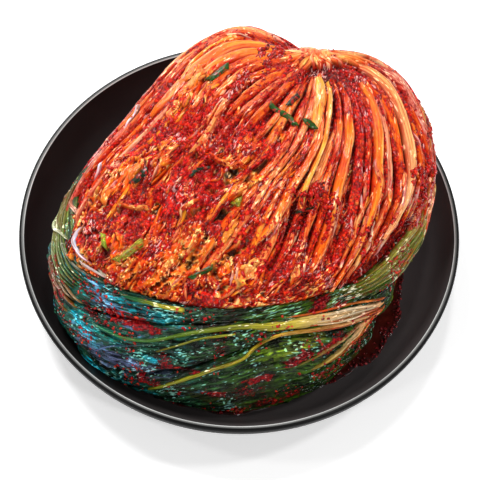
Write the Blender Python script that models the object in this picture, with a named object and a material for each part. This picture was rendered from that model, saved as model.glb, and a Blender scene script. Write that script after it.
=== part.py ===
"""Half head of napa-cabbage kimchi, cut face up, folded into its own green outer leaves and served in a shallow black dish.

Frame: origin on the table under the centre of the dish, +Z up, -Y the side with the folded green leaves, metres.
The head is a squashed dome. Every point of its skin has an address (u, v) in a unit disc: (0, 0) is the crown, radius
GIRTH is the widest line, radius 1 is the foot, +v is the root end. Leaves are laid out on that disc.
"""

import math

import bmesh
import bpy
import numpy as np
from mathutils import Vector
from mathutils.bvhtree import BVHTree
from mathutils.kdtree import KDTree

for old in list(bpy.data.objects):
    bpy.data.objects.remove(old, do_unlink=True)

MM = 0.001

# ---------------------------------------------------------------- dish
DISH_SEGMENTS = 52
FLOOR_R = 84.0  # where the flat floor begins to curve up, mm
RIM_R = 130.0  # outside radius of the lip, mm
RIM_TOP = 30.3  # height of the lip, mm
FOOT_OUT, FOOT_IN = 74.0, 68.5  # foot ring, mm
# inside of the dish from the axis out to the lip: radius, height in mm
INSIDE = [(0, 7.2), (FLOOR_R, 7.6), (94, 8.4), (102, 10.0), (109, 12.6), (115, 16.0), (119.5, 19.8), (123, 24.0), (125.4, 27.6), (126.4, 29.4)]
LIP = [(127.1, RIM_TOP), (128.0, RIM_TOP), (129.6, 29.5), (RIM_R, 28.4), (129.7, 25.5)]
OUTSIDE = [(128.0, 21.5), (124.5, 15.6), (118.5, 10.3), (110, 6.4), (98, 4.2), (76.0, 3.2)]
FOOT = [(FOOT_OUT, 0.0), (FOOT_IN, 0.0), (67.5, 3.0), (0, 3.0)]

# ---------------------------------------------------------------- head
SEAT = 0.5  # gap between food and dish, mm
CENTRE = (1.5, 6.0)  # axis of the head in plan, mm
FOOT_ANGLE = 126.0  # degrees of profile from crown to foot, 90 is the girth
GIRTH = 90.0 / FOOT_ANGLE
# plan radius at the girth every 22.5 degrees from +X towards +Y, mm
GIRTH_R = [108.6, 117.9, 119.3, 102.8, 106.0, 96.1, 86.5, 88.7, 103.2, 118.3, 123.7, 118.7, 117.0, 111.6, 103.4, 101.8]
GIRTH_Z, GIRTH_Z_BACK, GIRTH_Z_RIGHT = 42.0, 28.0, 8.0  # girth height and how it climbs to the back and right, mm
CROWN, CROWN_BACK = 48.0, 10.0  # crown above the girth, and how that grows to the back, mm
ROOT_DIP, ROOT_ANGLE, ROOT_WIDTH = 12.0, 66.0, 15.0  # hollow where the ribs meet the root: mm, degrees, degrees
FOOT_LEVEL = 7.8
COLUMNS = 88

# ribs fan out from the root: lines across the cut face from the left rim (first) to the right rim (last),
# each running from the root to the leaf tips, in thousandths of the unit disc
FAN = [
    [(174, 393), (44, 467), (-84, 552), (-295, 409), (-484, 168), (-547, -67)],
    [(181, 359), (55, 280), (-74, 157), (-181, 15), (-237, -106), (-320, -213)],
    [(191, 327), (127, 157), (71, 30), (10, -70), (-52, -179), (-109, -296)],
    [(206, 318), (246, 153), (268, 29), (279, -106), (248, -228), (196, -314)],
    [(226, 338), (388, 299), (486, 190), (585, 96), (586, -23), (532, -128)],
]
RIBS = 10  # broad ribs across the cut face
RIB_HEIGHT = 3.2  # mm
TIP_HEIGHT = 2.2  # crumpled leaf tips, mm
STEMS, STEM_HEIGHT = 22, 1.6  # upright outer stems round the whole flank, and their height in mm

# ---------------------------------------------------------------- folded outer leaves
LEAF_THICK = 4.0  # thickness of each folded bundle of leaf, mm
RECESS = 5.2  # the head is set back this far under them, mm
SPLIT = 0.007  # gap between two leaves, in disc units
END_TAPER = 12.0  # the bundles thin out over this many degrees at each end
# edges and midribs of the leaves: disc radius at angles in degrees (270 is the front), joined by a smooth curve
CUT_EDGE = [(190, 0.605), (210, 0.456), (230, 0.360), (250, 0.332), (275, 0.319), (300, 0.366), (325, 0.468), (345, 0.541), (362, 0.652)]
SECOND_EDGE = [(192, 0.770), (208, 0.604), (225, 0.471), (245, 0.400), (270, 0.351), (290, 0.376), (310, 0.473), (330, 0.619), (342, 0.720)]
THIRD_EDGE = [(205, 0.800), (225, 0.690), (235, 0.673), (250, 0.562), (265, 0.462), (281, 0.419), (296, 0.465), (320, 0.676), (332, 0.800)]
SECOND_RIB = [(200, 0.640), (216, 0.563), (235, 0.507), (252, 0.424), (270, 0.388), (290, 0.412), (307, 0.484), (324, 0.640), (340, 0.760)]
THIRD_RIB = [(215, 0.860), (242, 0.700), (258, 0.590), (272, 0.510), (290, 0.480), (306, 0.590), (325, 0.760)]
RIB_RISE = 1.7  # the midrib stands this far above the blade, mm

# scallion pieces on the cut face: middle in thousandths of the disc, heading and bend in degrees, length and width in mm
SCALLIONS = [
    (-74, 268, 28, 0, 14.5, 4.4),
    (78, 119, -62, -14, 19.5, 3.6),
    (126, 88, -30, -60, 6.5, 3.8),
    (104, 157, 50, -20, 8.5, 3.4),
    (-238, -24, 52, -24, 10.5, 4.6),
    (-86, -12, 30, -92, 13.0, 2.6),
    (-231, -187, 33, 12, 17.5, 5.0),
    (-303, -167, 116, 4, 9.0, 3.4),
    (-81, -233, 30, 4, 13.0, 3.0),
    (-10, -77, 20, 0, 3.4, 5.0),
    (143, -106, 14, -10, 9.5, 3.0),
]


def material(name, colour, roughness, metallic=0.0):
    m = bpy.data.materials.new(name)
    m.use_nodes = True
    s = m.node_tree.nodes["Principled BSDF"]
    s.inputs["Base Color"].default_value = (*colour, 1.0)
    s.inputs["Roughness"].default_value = roughness
    s.inputs["Metallic"].default_value = metallic
    m.diffuse_color = (*colour, 1.0)
    return m


BLACK_GLAZE = material("dish_black", (0.030, 0.027, 0.026), 0.42)
RED_LEAF = material("seasoned_leaf", (0.62, 0.085, 0.018), 0.30)
GREEN_LEAF = material("outer_leaf", (0.045, 0.115, 0.022), 0.28)
SCALLION = material("scallion_green", (0.035, 0.090, 0.018), 0.35)


def place(name, bm, mat):
    bmesh.ops.recalc_face_normals(bm, faces=bm.faces[:])
    me = bpy.data.meshes.new(name)
    bm.to_mesh(me)
    bm.free()
    me.materials.append(mat)
    me.shade_smooth()
    me.set_sharp_from_angle(angle=math.radians(50))
    ob = bpy.data.objects.new(name, me)
    bpy.context.collection.objects.link(ob)
    return ob


def inside_z(r):
    """Height of the dish's inner surface at plan radius r, both in mm."""
    return np.interp(r, [p[0] for p in INSIDE], [p[1] for p in INSIDE])


def girth_radius(th):
    """Smooth closed curve through GIRTH_R (Catmull-Rom)."""
    r = np.array(GIRTH_R)
    n = len(r)
    k = (th / (2 * np.pi) * n) % n
    i = np.floor(k).astype(int)
    t = k - i
    a, b, c, d = [r[(i + j) % n] for j in (-1, 0, 1, 2)]
    return b + 0.5 * t * (c - a + t * (2 * a - 5 * b + 4 * c - d + t * (3 * (b - c) + d - a)))


def dome(u, v):
    """Point of the head's skin at disc address (u, v), in mm."""
    u, v = np.asarray(u, float), np.asarray(v, float)
    rho, th = np.hypot(u, v), np.arctan2(v, u)
    phi = rho * np.radians(FOOT_ANGLE)
    s, c = np.abs(np.sin(phi)), np.cos(phi)
    upper = c > 0
    r = girth_radius(th) * np.where(upper, s**0.90, 1 - 0.42 * (1 - s))
    girth_z = GIRTH_Z + GIRTH_Z_BACK * v + GIRTH_Z_RIGHT * u
    foot_c = abs(math.cos(math.radians(FOOT_ANGLE)))
    z = np.where(upper, girth_z + (CROWN + CROWN_BACK * v) * np.abs(c) ** 0.80, girth_z - (girth_z - FOOT_LEVEL) * np.abs(c) / foot_c)
    turn = (th - math.radians(ROOT_ANGLE) + np.pi) % (2 * np.pi) - np.pi
    dip = ROOT_DIP * np.exp(-((turn / math.radians(ROOT_WIDTH)) ** 2)) * np.clip((rho - 0.3) / 0.4, 0, 1) ** 2
    z = z - dip * np.where(upper, 1, np.clip(1 - 2 * np.abs(c), 0, 1))
    return np.stack([CENTRE[0] + r * np.cos(th), CENTRE[1] + r * np.sin(th), z], -1)


def skin(u, v, out=0.0):
    """dome(u, v) moved out along its normal by out mm, and kept off the dish."""
    e = 0.004
    p = dome(u, v)
    n = np.cross(dome(u + e, v) - dome(u - e, v), dome(u, v + e) - dome(u, v - e))
    n /= np.linalg.norm(n, axis=-1, keepdims=True)
    p = p + n * np.asarray(out)[..., None]
    p[..., 2] = np.maximum(p[..., 2], inside_z(np.hypot(p[..., 0], p[..., 1])) + SEAT)
    return p


def spline(points, n):
    """n points along a Catmull-Rom curve through points."""
    p = np.array(points, float)
    p = np.vstack([2 * p[0] - p[1], p, 2 * p[-1] - p[-2]])
    t = np.linspace(0, len(p) - 3, n)
    i = np.minimum(t.astype(int), len(p) - 4)
    t = (t - i)[:, None]
    a, b, c, d = p[i], p[i + 1], p[i + 2], p[i + 3]
    return b + 0.5 * t * (c - a + t * (2 * a - 5 * b + 4 * c - d + t * (3 * (b - c) + d - a)))


def edge(table, degrees):
    """Disc radius of a leaf edge at an angle: a cubic through the table's rows."""
    x, y = np.array(table, float).T
    slope = np.gradient(y, x)
    d = min(max(degrees, x[0]), x[-1])
    i = int(min(max(np.searchsorted(x, d) - 1, 0), len(x) - 2))
    h = x[i + 1] - x[i]
    t = (d - x[i]) / h
    return float((1 + 2 * t) * (1 - t) ** 2 * y[i] + t * (1 - t) ** 2 * h * slope[i] + t * t * (3 - 2 * t) * y[i + 1] + t * t * (t - 1) * h * slope[i + 1])


def fan_lookup():
    """A tree that gives (across, along), each 0 to 1, of the rib fan at a disc address."""
    across, steps = 160, 60
    lines = np.array([spline(line, steps + 1) for line in FAN]) / 1000
    tree, where = KDTree((across + 1) * (steps + 1)), []
    for j in range(steps + 1):
        row = spline(lines[:, j], across + 1)
        for i in range(across + 1):
            tree.insert((row[i][0], row[i][1], 0), len(where))
            where.append((i / across, j / steps))
    tree.balance()
    return tree, where


# ---------------------------------------------------------------- dish, a turned profile
bm = bmesh.new()
ring = [bm.verts.new((r * MM, 0, z * MM)) for r, z in INSIDE + LIP + OUTSIDE + FOOT]
edges = [bm.edges.new((a, b)) for a, b in zip(ring, ring[1:])]
bmesh.ops.spin(bm, geom=ring + edges, cent=(0, 0, 0), axis=(0, 0, 1), angle=2 * math.pi, steps=DISH_SEGMENTS, use_duplicate=False)
bmesh.ops.remove_doubles(bm, verts=bm.verts[:], dist=1e-5)
place("dish", bm, BLACK_GLAZE)

# ---------------------------------------------------------------- head, one closed skin
tree, where = fan_lookup()
INNER_ROWS, OUTER_ROWS = 13, 7
LEFT_END, RIGHT_END = 188.0, 358.0  # the folded leaves lie between these angles


def recess(degrees):
    """How far the head is set back at an angle: full under the leaves, fading past their ends."""
    return RECESS * min(1, max(0, (degrees - LEFT_END + 4) / 10)) * min(1, max(0, (RIGHT_END + 4 - degrees) / 10))


def cut_edge(degrees):
    return edge(CUT_EDGE, degrees) if degrees >= LEFT_END else 0.62


def step(x, low, high):
    """0 below low, 1 above high, smooth between."""
    t = min(1.0, max(0.0, (x - low) / (high - low)))
    return t * t * (3 - 2 * t)


def relief(u, v):
    """Ribs by the root and down the sides, crumpled tips towards the middle, in mm."""
    _, i, gap = tree.find((u, v, 0))
    a, s = where[i]
    bend = 0.22 * math.sin(5.1 * s + 9 * a) + 0.14 * math.sin(9 * s + 23 * a)
    ridge = 0.5 - abs(math.sin(math.pi * (a * RIBS + bend)))
    tip = step(s, 0.22, 0.5) * step(0.70 - a, 0.0, 0.2) * step(a, 0.05, 0.2)
    crumple = math.sin(41 * u + 17 * v + 2 * math.sin(13 * v)) * math.sin(37 * v - 23 * u + 2 * math.sin(11 * u))
    return -RIB_HEIGHT * ridge * (1 - tip) * step(0.10 - gap, 0.0, 0.09) * step(s, 0.0, 0.15) + TIP_HEIGHT * crumple * tip


def stems(degrees, rho):
    """Upright outer stems round the flank, in mm."""
    turn = math.radians(degrees)
    wave = math.sin(STEMS * turn + 1.3 * math.sin(3 * turn)) * 0.7 + 0.3 * math.sin(1.7 * STEMS * turn)
    return STEM_HEIGHT * wave * step(rho, 0.50, 0.68) * (1 - step(rho, 0.9, 1.0))


bm = bmesh.new()
rows = []
angles = [360.0 * i / COLUMNS for i in range(COLUMNS)]
for k in range(1, INNER_ROWS + 1):
    row = []
    for d in angles:
        rho = cut_edge(d) * (k / INNER_ROWS) ** 1.05
        u, v = rho * math.cos(math.radians(d)), rho * math.sin(math.radians(d))
        fade = min(1, (INNER_ROWS - k) / 2.0) if recess(d) else 1
        row.append(skin(u, v, relief(u, v) * fade + (0 if recess(d) else stems(d, rho))))
    rows.append(row)
for k in range(OUTER_ROWS + 1):
    row = []
    for d in angles:
        start = cut_edge(d) + 0.002
        rho = start + (1 - start) * (k / OUTER_ROWS)
        u, v = rho * math.cos(math.radians(d)), rho * math.sin(math.radians(d))
        row.append(skin(u, v, -recess(d) if recess(d) else stems(d, rho)))
    rows.append(row)
foot = rows[-1]
for share in (0.8, 0.4):
    row = []
    for p in foot:
        x, y = CENTRE[0] + (p[0] - CENTRE[0]) * share, CENTRE[1] + (p[1] - CENTRE[1]) * share
        row.append(np.array([x, y, inside_z(math.hypot(x, y)) + SEAT]))
    rows.append(row)
crown = bm.verts.new(Vector(skin(1e-5, 1e-5, 0.0)) * MM)
base = bm.verts.new(Vector((CENTRE[0], CENTRE[1], float(inside_z(math.hypot(*CENTRE))) + SEAT)) * MM)
grid = [[bm.verts.new(Vector(p) * MM) for p in row] for row in rows]
for i in range(COLUMNS):
    j = (i + 1) % COLUMNS
    bm.faces.new((crown, grid[0][i], grid[0][j]))
    bm.faces.new((base, grid[-1][j], grid[-1][i]))
    for a, b in zip(grid, grid[1:]):
        bm.faces.new((a[i], b[i], b[j], a[j]))
bmesh.ops.triangulate(bm, faces=bm.faces[:])
head = place("cabbage_half", bm, RED_LEAF)


# ---------------------------------------------------------------- folded outer leaves
def seat_radius(degrees):
    """Disc radius at which the skin comes down to 1.6 mm above the dish."""
    c, s = math.cos(math.radians(degrees)), math.sin(math.radians(degrees))
    lo, hi = 0.66, 1.0
    for _ in range(30):
        mid = (lo + hi) / 2
        p = dome(mid * c, mid * s)
        if p[2] - inside_z(math.hypot(p[0], p[1])) > 1.6:
            lo = mid
        else:
            hi = mid
    return lo


def folded_leaf(name, top, bottom, first, last, rib=None, bulge=1.0):
    """A leaf bundle laid round the head between two edges, fat along its middle, with a midrib if rib is given."""
    columns = [first + (last - first) * i / round((last - first) * COLUMNS / 360) for i in range(round((last - first) * COLUMNS / 360) + 1)]
    outer, inner = [], []
    for d in columns:
        body = min(1, (d - first) / END_TAPER + 0.25, (last - d) / END_TAPER + 0.25)
        c, s = math.cos(math.radians(d)), math.sin(math.radians(d))
        floor = seat_radius(d) - 0.01
        hi = edge(top, d) + SPLIT
        lo = min(edge(bottom, d) - SPLIT, floor) if bottom else floor
        stations = [0, 0.12, 0.35, 0.65, 0.88, 1]
        rises = [0, 0.7, 1, 1, 0.7, 0]
        rho = [hi + (lo - hi) * t for t in stations]
        out = [bulge * r for r in rises]
        if rib:
            m = min(max(edge(rib, d), hi + 0.035), lo - 0.035)
            a, b = m - 0.022, m + 0.022
            rho = [hi, (hi + a) / 2, a, m, b] + [b + (lo - b) * t for t in (0.25, 0.5, 0.75, 1)]
            out = [0, bulge * 0.9, bulge, bulge + RIB_RISE] + [bulge * r for r in (1, 1, 1, 0.8, 0)]
        outer.append([skin(r * c, r * s, (o + LEAF_THICK) * body - LEAF_THICK) for r, o in zip(rho, out)])
        inner.append([skin(r * c, r * s, -LEAF_THICK) for r in rho])
    bm = bmesh.new()
    top_v = [[bm.verts.new(Vector(p) * MM) for p in col] for col in outer]
    low_v = [[bm.verts.new(Vector(p) * MM) for p in col] for col in inner]
    n, m = len(top_v), len(top_v[0])
    for i in range(n - 1):
        for k in range(m - 1):
            bm.faces.new((top_v[i][k], top_v[i + 1][k], top_v[i + 1][k + 1], top_v[i][k + 1]))
            bm.faces.new((low_v[i][k], low_v[i][k + 1], low_v[i + 1][k + 1], low_v[i + 1][k]))
        for k in (0, m - 1):
            bm.faces.new((top_v[i][k], low_v[i][k], low_v[i + 1][k], top_v[i + 1][k]))
    for i in (0, n - 1):
        for k in range(m - 1):
            bm.faces.new((top_v[i][k], top_v[i][k + 1], low_v[i][k + 1], low_v[i][k]))
    bmesh.ops.triangulate(bm, faces=bm.faces[:])
    return place(name, bm, GREEN_LEAF)


folded_leaf("leaf_upper", CUT_EDGE, SECOND_EDGE, 192, 352, bulge=0.8)
folded_leaf("leaf_middle", SECOND_EDGE, THIRD_EDGE, 207, 331, rib=SECOND_RIB, bulge=1.2)
folded_leaf("leaf_lower", THIRD_EDGE, None, 225, 322, rib=THIRD_RIB, bulge=1.6)


# ---------------------------------------------------------------- scallion pieces resting on the cut face
head_tree = BVHTree.FromPolygons([v.co.copy() for v in head.data.vertices], [tuple(p.vertices) for p in head.data.polygons])


def scallion(name, u, v, heading, bend, length, width):
    """A short, flattened length of scallion leaf that follows the head's skin, lifted until it just clears it."""
    stations = 5
    track = [np.array((u, v), float)]
    for side in (-1, 1):
        p = np.array((u, v), float)
        for i in range((stations - 1) // 2):
            a = math.radians(heading + bend * side * (i + 0.5) / (stations - 1))
            unit = np.array((math.cos(a), math.sin(a)))
            reach = np.linalg.norm(dome(*(p + 0.01 * unit)) - dome(*p)) / 0.01
            p = p + side * unit * length / (stations - 1) / reach
            track = [p] + track if side < 0 else track + [p]
    lift = 0.3
    while True:
        sections = []
        for i, (u, v) in enumerate(track):
            p, q = skin(u, v), skin(u, v, 1.0)
            up = (q - p) / np.linalg.norm(q - p)
            a, b = track[max(i - 1, 0)], track[min(i + 1, stations - 1)]
            run = dome(*b) - dome(*a)
            side = np.cross(up, run)
            side /= np.linalg.norm(side)
            w = width / 2 * (0.8 if i in (0, stations - 1) else 1.0)
            h = width * 0.24
            middle = p + up * (lift + h)
            sections.append([middle + side * w * math.cos(t) + up * h * math.sin(t) for t in np.arange(6) * math.pi / 3])
        bm = bmesh.new()
        loops = [[bm.verts.new(Vector(p) * MM) for p in s] for s in sections]
        for a, b in zip(loops, loops[1:]):
            for k in range(6):
                bm.faces.new((a[k], a[(k + 1) % 6], b[(k + 1) % 6], b[k]))
        bm.faces.new(loops[0][::-1])
        bm.faces.new(loops[-1])
        bmesh.ops.recalc_face_normals(bm, faces=bm.faces[:])
        bmesh.ops.triangulate(bm, faces=bm.faces[:])
        bm.verts.ensure_lookup_table()
        piece = BVHTree.FromBMesh(bm)
        nearest = min(head_tree.find_nearest(v.co)[3] for v in bm.verts)
        under = min((v.co - head_tree.find_nearest(v.co)[0]).dot(head_tree.find_nearest(v.co)[1]) for v in bm.verts)
        if not head_tree.overlap(piece) and nearest > 0.25 * MM and under > 0:
            return place(name, bm, SCALLION)
        bm.free()
        lift += 0.15


for n, (u, v, heading, bend, length, width) in enumerate(SCALLIONS, 1):
    scallion(f"scallion_{n:02d}", u / 1000, v / 1000, heading, bend, length, width)
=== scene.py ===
import math

import bpy
import numpy as np
from mathutils import Matrix, Vector
from mathutils.bvhtree import BVHTree
from mathutils.kdtree import KDTree


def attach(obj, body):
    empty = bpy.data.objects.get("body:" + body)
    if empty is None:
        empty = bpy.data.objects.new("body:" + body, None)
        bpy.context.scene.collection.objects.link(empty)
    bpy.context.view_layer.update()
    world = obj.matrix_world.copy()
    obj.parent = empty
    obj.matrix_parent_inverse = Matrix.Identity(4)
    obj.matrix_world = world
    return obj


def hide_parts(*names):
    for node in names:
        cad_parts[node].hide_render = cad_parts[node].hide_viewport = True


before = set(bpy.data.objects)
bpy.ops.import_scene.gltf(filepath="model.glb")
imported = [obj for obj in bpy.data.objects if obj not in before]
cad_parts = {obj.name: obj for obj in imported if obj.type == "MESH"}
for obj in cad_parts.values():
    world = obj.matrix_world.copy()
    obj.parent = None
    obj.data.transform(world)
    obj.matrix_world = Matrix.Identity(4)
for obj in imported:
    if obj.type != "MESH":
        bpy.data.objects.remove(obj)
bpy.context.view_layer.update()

BODY = "root"
MM = 0.001

# =====================================================================================================
# camera: above the front of the dish, looking along +Y and down, turned a little about its own axis
# =====================================================================================================
ELEVATION, ROLL, DISTANCE = math.radians(61.469), math.radians(1.667), 0.95
TARGET = np.array([0.00055, -0.00956, 0.030])
fwd = np.array([0.0, math.cos(ELEVATION), -math.sin(ELEVATION)])
flat_up = np.cross([1.0, 0.0, 0.0], fwd)
right = np.array([1.0, 0.0, 0.0]) * math.cos(ROLL) + flat_up * math.sin(ROLL)
up = -np.array([1.0, 0.0, 0.0]) * math.sin(ROLL) + flat_up * math.cos(ROLL)
cam_data = bpy.data.cameras.new("camera")
cam_data.lens, cam_data.sensor_width = 121.15, 36.0
cam = bpy.data.objects.new("camera", cam_data)
bpy.context.collection.objects.link(cam)
m = Matrix.Identity(4)
for col, axis in enumerate((right, up, -fwd)):
    for row in range(3):
        m[row][col] = axis[row]
m.translation = Vector(TARGET - fwd * DISTANCE)
cam.matrix_world = m
bpy.context.scene.camera = cam

# =====================================================================================================
# noise
# =====================================================================================================
_r = np.random.default_rng(11)
PERM = np.concatenate([_r.permutation(256)] * 3)
GRAD = _r.normal(size=(256, 3))
GRAD /= np.linalg.norm(GRAD, axis=1, keepdims=True)


def noise(p, seed=0):
    """Gradient noise, about -1 to 1, of points (n, 3) or (n, 2)."""
    p = np.asarray(p, float)
    shape = p.shape[:-1]
    p = p.reshape(-1, p.shape[-1])
    if p.shape[1] == 2:
        p = np.concatenate([p, np.full((len(p), 1), 0.37)], 1)
    p = p + seed * 17.31
    i = np.floor(p).astype(int)
    f = p - i
    i &= 255
    w = f * f * f * (f * (f * 6 - 15) + 10)
    out = np.zeros(len(p))
    for dx in (0, 1):
        for dy in (0, 1):
            for dz in (0, 1):
                g = GRAD[PERM[PERM[PERM[(i[:, 0] + dx) & 255] + ((i[:, 1] + dy) & 255)] + ((i[:, 2] + dz) & 255)]]
                d = f - (dx, dy, dz)
                k = (w[:, 0] if dx else 1 - w[:, 0]) * (w[:, 1] if dy else 1 - w[:, 1]) * (w[:, 2] if dz else 1 - w[:, 2])
                out += k * (g * d).sum(1)
    return (out * 1.6).reshape(shape)


def fbm(p, octaves=4, seed=0, gain=0.5):
    p = np.asarray(p, float)
    total, amp, norm = 0, 1.0, 0
    for o in range(octaves):
        total = total + amp * noise(p * 2.03**o, seed + o * 3)
        norm += amp
        amp *= gain
    return total / norm


def ridged(p, octaves=4, seed=0):
    total, amp, norm = 0, 1.0, 0
    for o in range(octaves):
        total = total + amp * (1 - 2 * np.abs(noise(np.asarray(p) * 2.07**o, seed + o * 5)))
        norm += amp
        amp *= 0.55
    return total / norm


JITTER = _r.uniform(0, 1, (256, 4))


def grains(p, seed=0):
    """Distance to the nearest of one random point per unit cell, and that point's random number."""
    p = np.asarray(p, float)
    shape = p.shape[:-1]
    p = p.reshape(-1, 3) + seed * 7.7
    i = np.floor(p).astype(int)
    f = p - i
    i &= 255
    best, tag = np.full(len(p), 9.0), np.zeros(len(p))
    for dx in (-1, 0, 1):
        for dy in (-1, 0, 1):
            for dz in (-1, 0, 1):
                h = PERM[PERM[PERM[(i[:, 0] + dx) & 255] + ((i[:, 1] + dy) & 255)] + ((i[:, 2] + dz) & 255)]
                d = ((f - JITTER[h, :3] - (dx, dy, dz)) ** 2).sum(1)
                near = d < best
                best = np.where(near, d, best)
                tag = np.where(near, JITTER[h, 3], tag)
    return np.sqrt(best).reshape(shape), tag.reshape(shape)


def step(x, low, high):
    t = np.clip((np.asarray(x, float) - low) / (high - low), 0, 1)
    return t * t * (3 - 2 * t)


def mix(a, b, t):
    a, b, t = np.asarray(a, float), np.asarray(b, float), np.asarray(t, float)
    return a + (b - a) * t[..., None]


def srgb(*c):
    """Screen colour 0-255 to linear."""
    c = np.array(c, float) / 255
    return np.where(c <= 0.04045, c / 12.92, ((c + 0.055) / 1.055) ** 2.4)


# =====================================================================================================
# the head's skin: the same dome as the CAD body, addressed by a unit disc
# =====================================================================================================
INSIDE = np.array([(0, 7.2), (84, 7.6), (94, 8.4), (102, 10.0), (109, 12.6), (115, 16.0), (119.5, 19.8), (123, 24.0), (125.4, 27.6), (126.4, 29.4)]) * MM
SEAT = 0.5 * MM
CENTRE = np.array([1.5, 6.0]) * MM
FOOT_ANGLE = math.radians(126.0)
GIRTH = 90.0 / 126.0
GIRTH_R = np.array([108.6, 117.9, 119.3, 102.8, 106.0, 96.1, 86.5, 88.7, 103.2, 118.3, 123.7, 118.7, 117.0, 111.6, 103.4, 101.8]) * MM
FAN = np.array([
    [(174, 393), (44, 467), (-84, 552), (-295, 409), (-484, 168), (-547, -67)],
    [(181, 359), (55, 280), (-74, 157), (-181, 15), (-237, -106), (-320, -213)],
    [(191, 327), (127, 157), (71, 30), (10, -70), (-52, -179), (-109, -296)],
    [(206, 318), (246, 153), (268, 29), (279, -106), (248, -228), (196, -314)],
    [(226, 338), (388, 299), (486, 190), (585, 96), (586, -23), (532, -128)],
]) / 1000.0
CUT_EDGE = [(190, 0.605), (210, 0.456), (230, 0.360), (250, 0.332), (275, 0.319), (300, 0.366), (325, 0.468), (345, 0.541), (362, 0.652)]
SECOND_EDGE = [(192, 0.770), (208, 0.604), (225, 0.471), (245, 0.400), (270, 0.351), (290, 0.376), (310, 0.473), (330, 0.619), (342, 0.720)]
THIRD_EDGE = [(205, 0.800), (225, 0.690), (235, 0.673), (250, 0.562), (265, 0.462), (281, 0.419), (296, 0.465), (320, 0.676), (332, 0.800)]


def inside_z(r):
    return np.interp(r, INSIDE[:, 0], INSIDE[:, 1])


def catmull(p, k):
    """Rows of p along axis 0, padded by a straight end, read at k."""
    p = np.concatenate([2 * p[:1] - p[1:2], p, 2 * p[-1:] - p[-2:-1]])
    k = np.clip(np.asarray(k, float), 0, len(p) - 3)
    i = np.minimum(k.astype(int), len(p) - 4)
    t = k - i
    t = t.reshape(t.shape + (1,) * (p.ndim - 1))
    a, b, c, d = p[i], p[i + 1], p[i + 2], p[i + 3]
    return b + 0.5 * t * (c - a + t * (2 * a - 5 * b + 4 * c - d + t * (3 * (b - c) + d - a)))


def girth_radius(th):
    n = len(GIRTH_R)
    k = (th / (2 * np.pi) * n) % n
    i = np.floor(k).astype(int)
    t = k - i
    a, b, c, d = [GIRTH_R[(i + j) % n] for j in (-1, 0, 1, 2)]
    return b + 0.5 * t * (c - a + t * (2 * a - 5 * b + 4 * c - d + t * (3 * (b - c) + d - a)))


def dome(u, v):
    u, v = np.asarray(u, float), np.asarray(v, float)
    rho, th = np.hypot(u, v), np.arctan2(v, u)
    phi = rho * FOOT_ANGLE
    s, c = np.abs(np.sin(phi)), np.cos(phi)
    top = c > 0
    r = girth_radius(th) * np.where(top, s**0.90, 1 - 0.42 * (1 - s))
    girth_z = (42.0 + 28.0 * v + 8.0 * u) * MM
    z = np.where(top, girth_z + (48.0 + 10.0 * v) * MM * np.abs(c) ** 0.80, girth_z - (girth_z - 7.8 * MM) * np.abs(c) / abs(math.cos(FOOT_ANGLE)))
    turn = (th - math.radians(66.0) + np.pi) % (2 * np.pi) - np.pi
    dip = 12.0 * MM * np.exp(-((turn / math.radians(15.0)) ** 2)) * np.clip((rho - 0.3) / 0.4, 0, 1) ** 2
    z = z - dip * np.where(top, 1, np.clip(1 - 2 * np.abs(c), 0, 1))
    return np.stack([CENTRE[0] + r * np.cos(th), CENTRE[1] + r * np.sin(th), z], -1)


def normal(u, v):
    e = 0.006
    n = np.cross(dome(u + e, v) - dome(u - e, v), dome(u, v + e) - dome(u, v - e))
    return n / np.maximum(np.linalg.norm(n, axis=-1, keepdims=True), 1e-12)


def rest_on_dish(p, gap=0.0006):
    p = np.array(p, float)
    r = np.hypot(p[..., 0], p[..., 1])
    p[..., 2] = np.maximum(p[..., 2], inside_z(r) + gap)
    return p


def skin(q, out=0.0):
    """Points at disc addresses q (..., 2), out metres above the skin."""
    return rest_on_dish(dome(q[..., 0], q[..., 1]) + normal(q[..., 0], q[..., 1]) * np.asarray(out)[..., None])


def fan(a, s):
    """Disc address of the rib fan: a across (0 left, 1 right), s along (0 root, 1 tips)."""
    a, s = np.broadcast_arrays(np.asarray(a, float), np.asarray(s, float))
    p = np.concatenate([2 * FAN[:1] - FAN[1:2], FAN, 2 * FAN[-1:] - FAN[-2:-1]])
    p = np.concatenate([2 * p[:, :1] - p[:, 1:2], p, 2 * p[:, -1:] - p[:, -2:-1]], 1)

    def basis(t):
        return [0.5 * (-t + 2 * t**2 - t**3), 0.5 * (2 - 5 * t**2 + 3 * t**3), 0.5 * (t + 4 * t**2 - 3 * t**3), 0.5 * (t**3 - t**2)]

    ka, ks = np.clip(a, -0.2, 1.2) * 4, np.clip(s, -0.15, 1.15) * 5
    ia, js = np.clip(np.floor(ka).astype(int), 0, 3), np.clip(np.floor(ks).astype(int), 0, 4)
    wa, ws = basis(ka - ia), basis(ks - js)
    out = np.zeros(a.shape + (2,))
    for i in range(4):
        for j in range(4):
            out += (wa[i] * ws[j])[..., None] * p[ia + i, js + j]
    return out


def edge(table, degrees):
    x, y = np.array(table, float).T
    slope = np.gradient(y, x)
    d = np.clip(np.asarray(degrees, float), x[0], x[-1])
    i = np.clip(np.searchsorted(x, d) - 1, 0, len(x) - 2)
    h = x[i + 1] - x[i]
    t = (d - x[i]) / h
    return (1 + 2 * t) * (1 - t) ** 2 * y[i] + t * (1 - t) ** 2 * h * slope[i] + t * t * (3 - 2 * t) * y[i + 1] + t * t * (t - 1) * h * slope[i + 1]


def polar(degrees, rho):
    d = np.radians(degrees)
    return np.stack([rho * np.cos(d), rho * np.sin(d)], -1)


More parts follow.
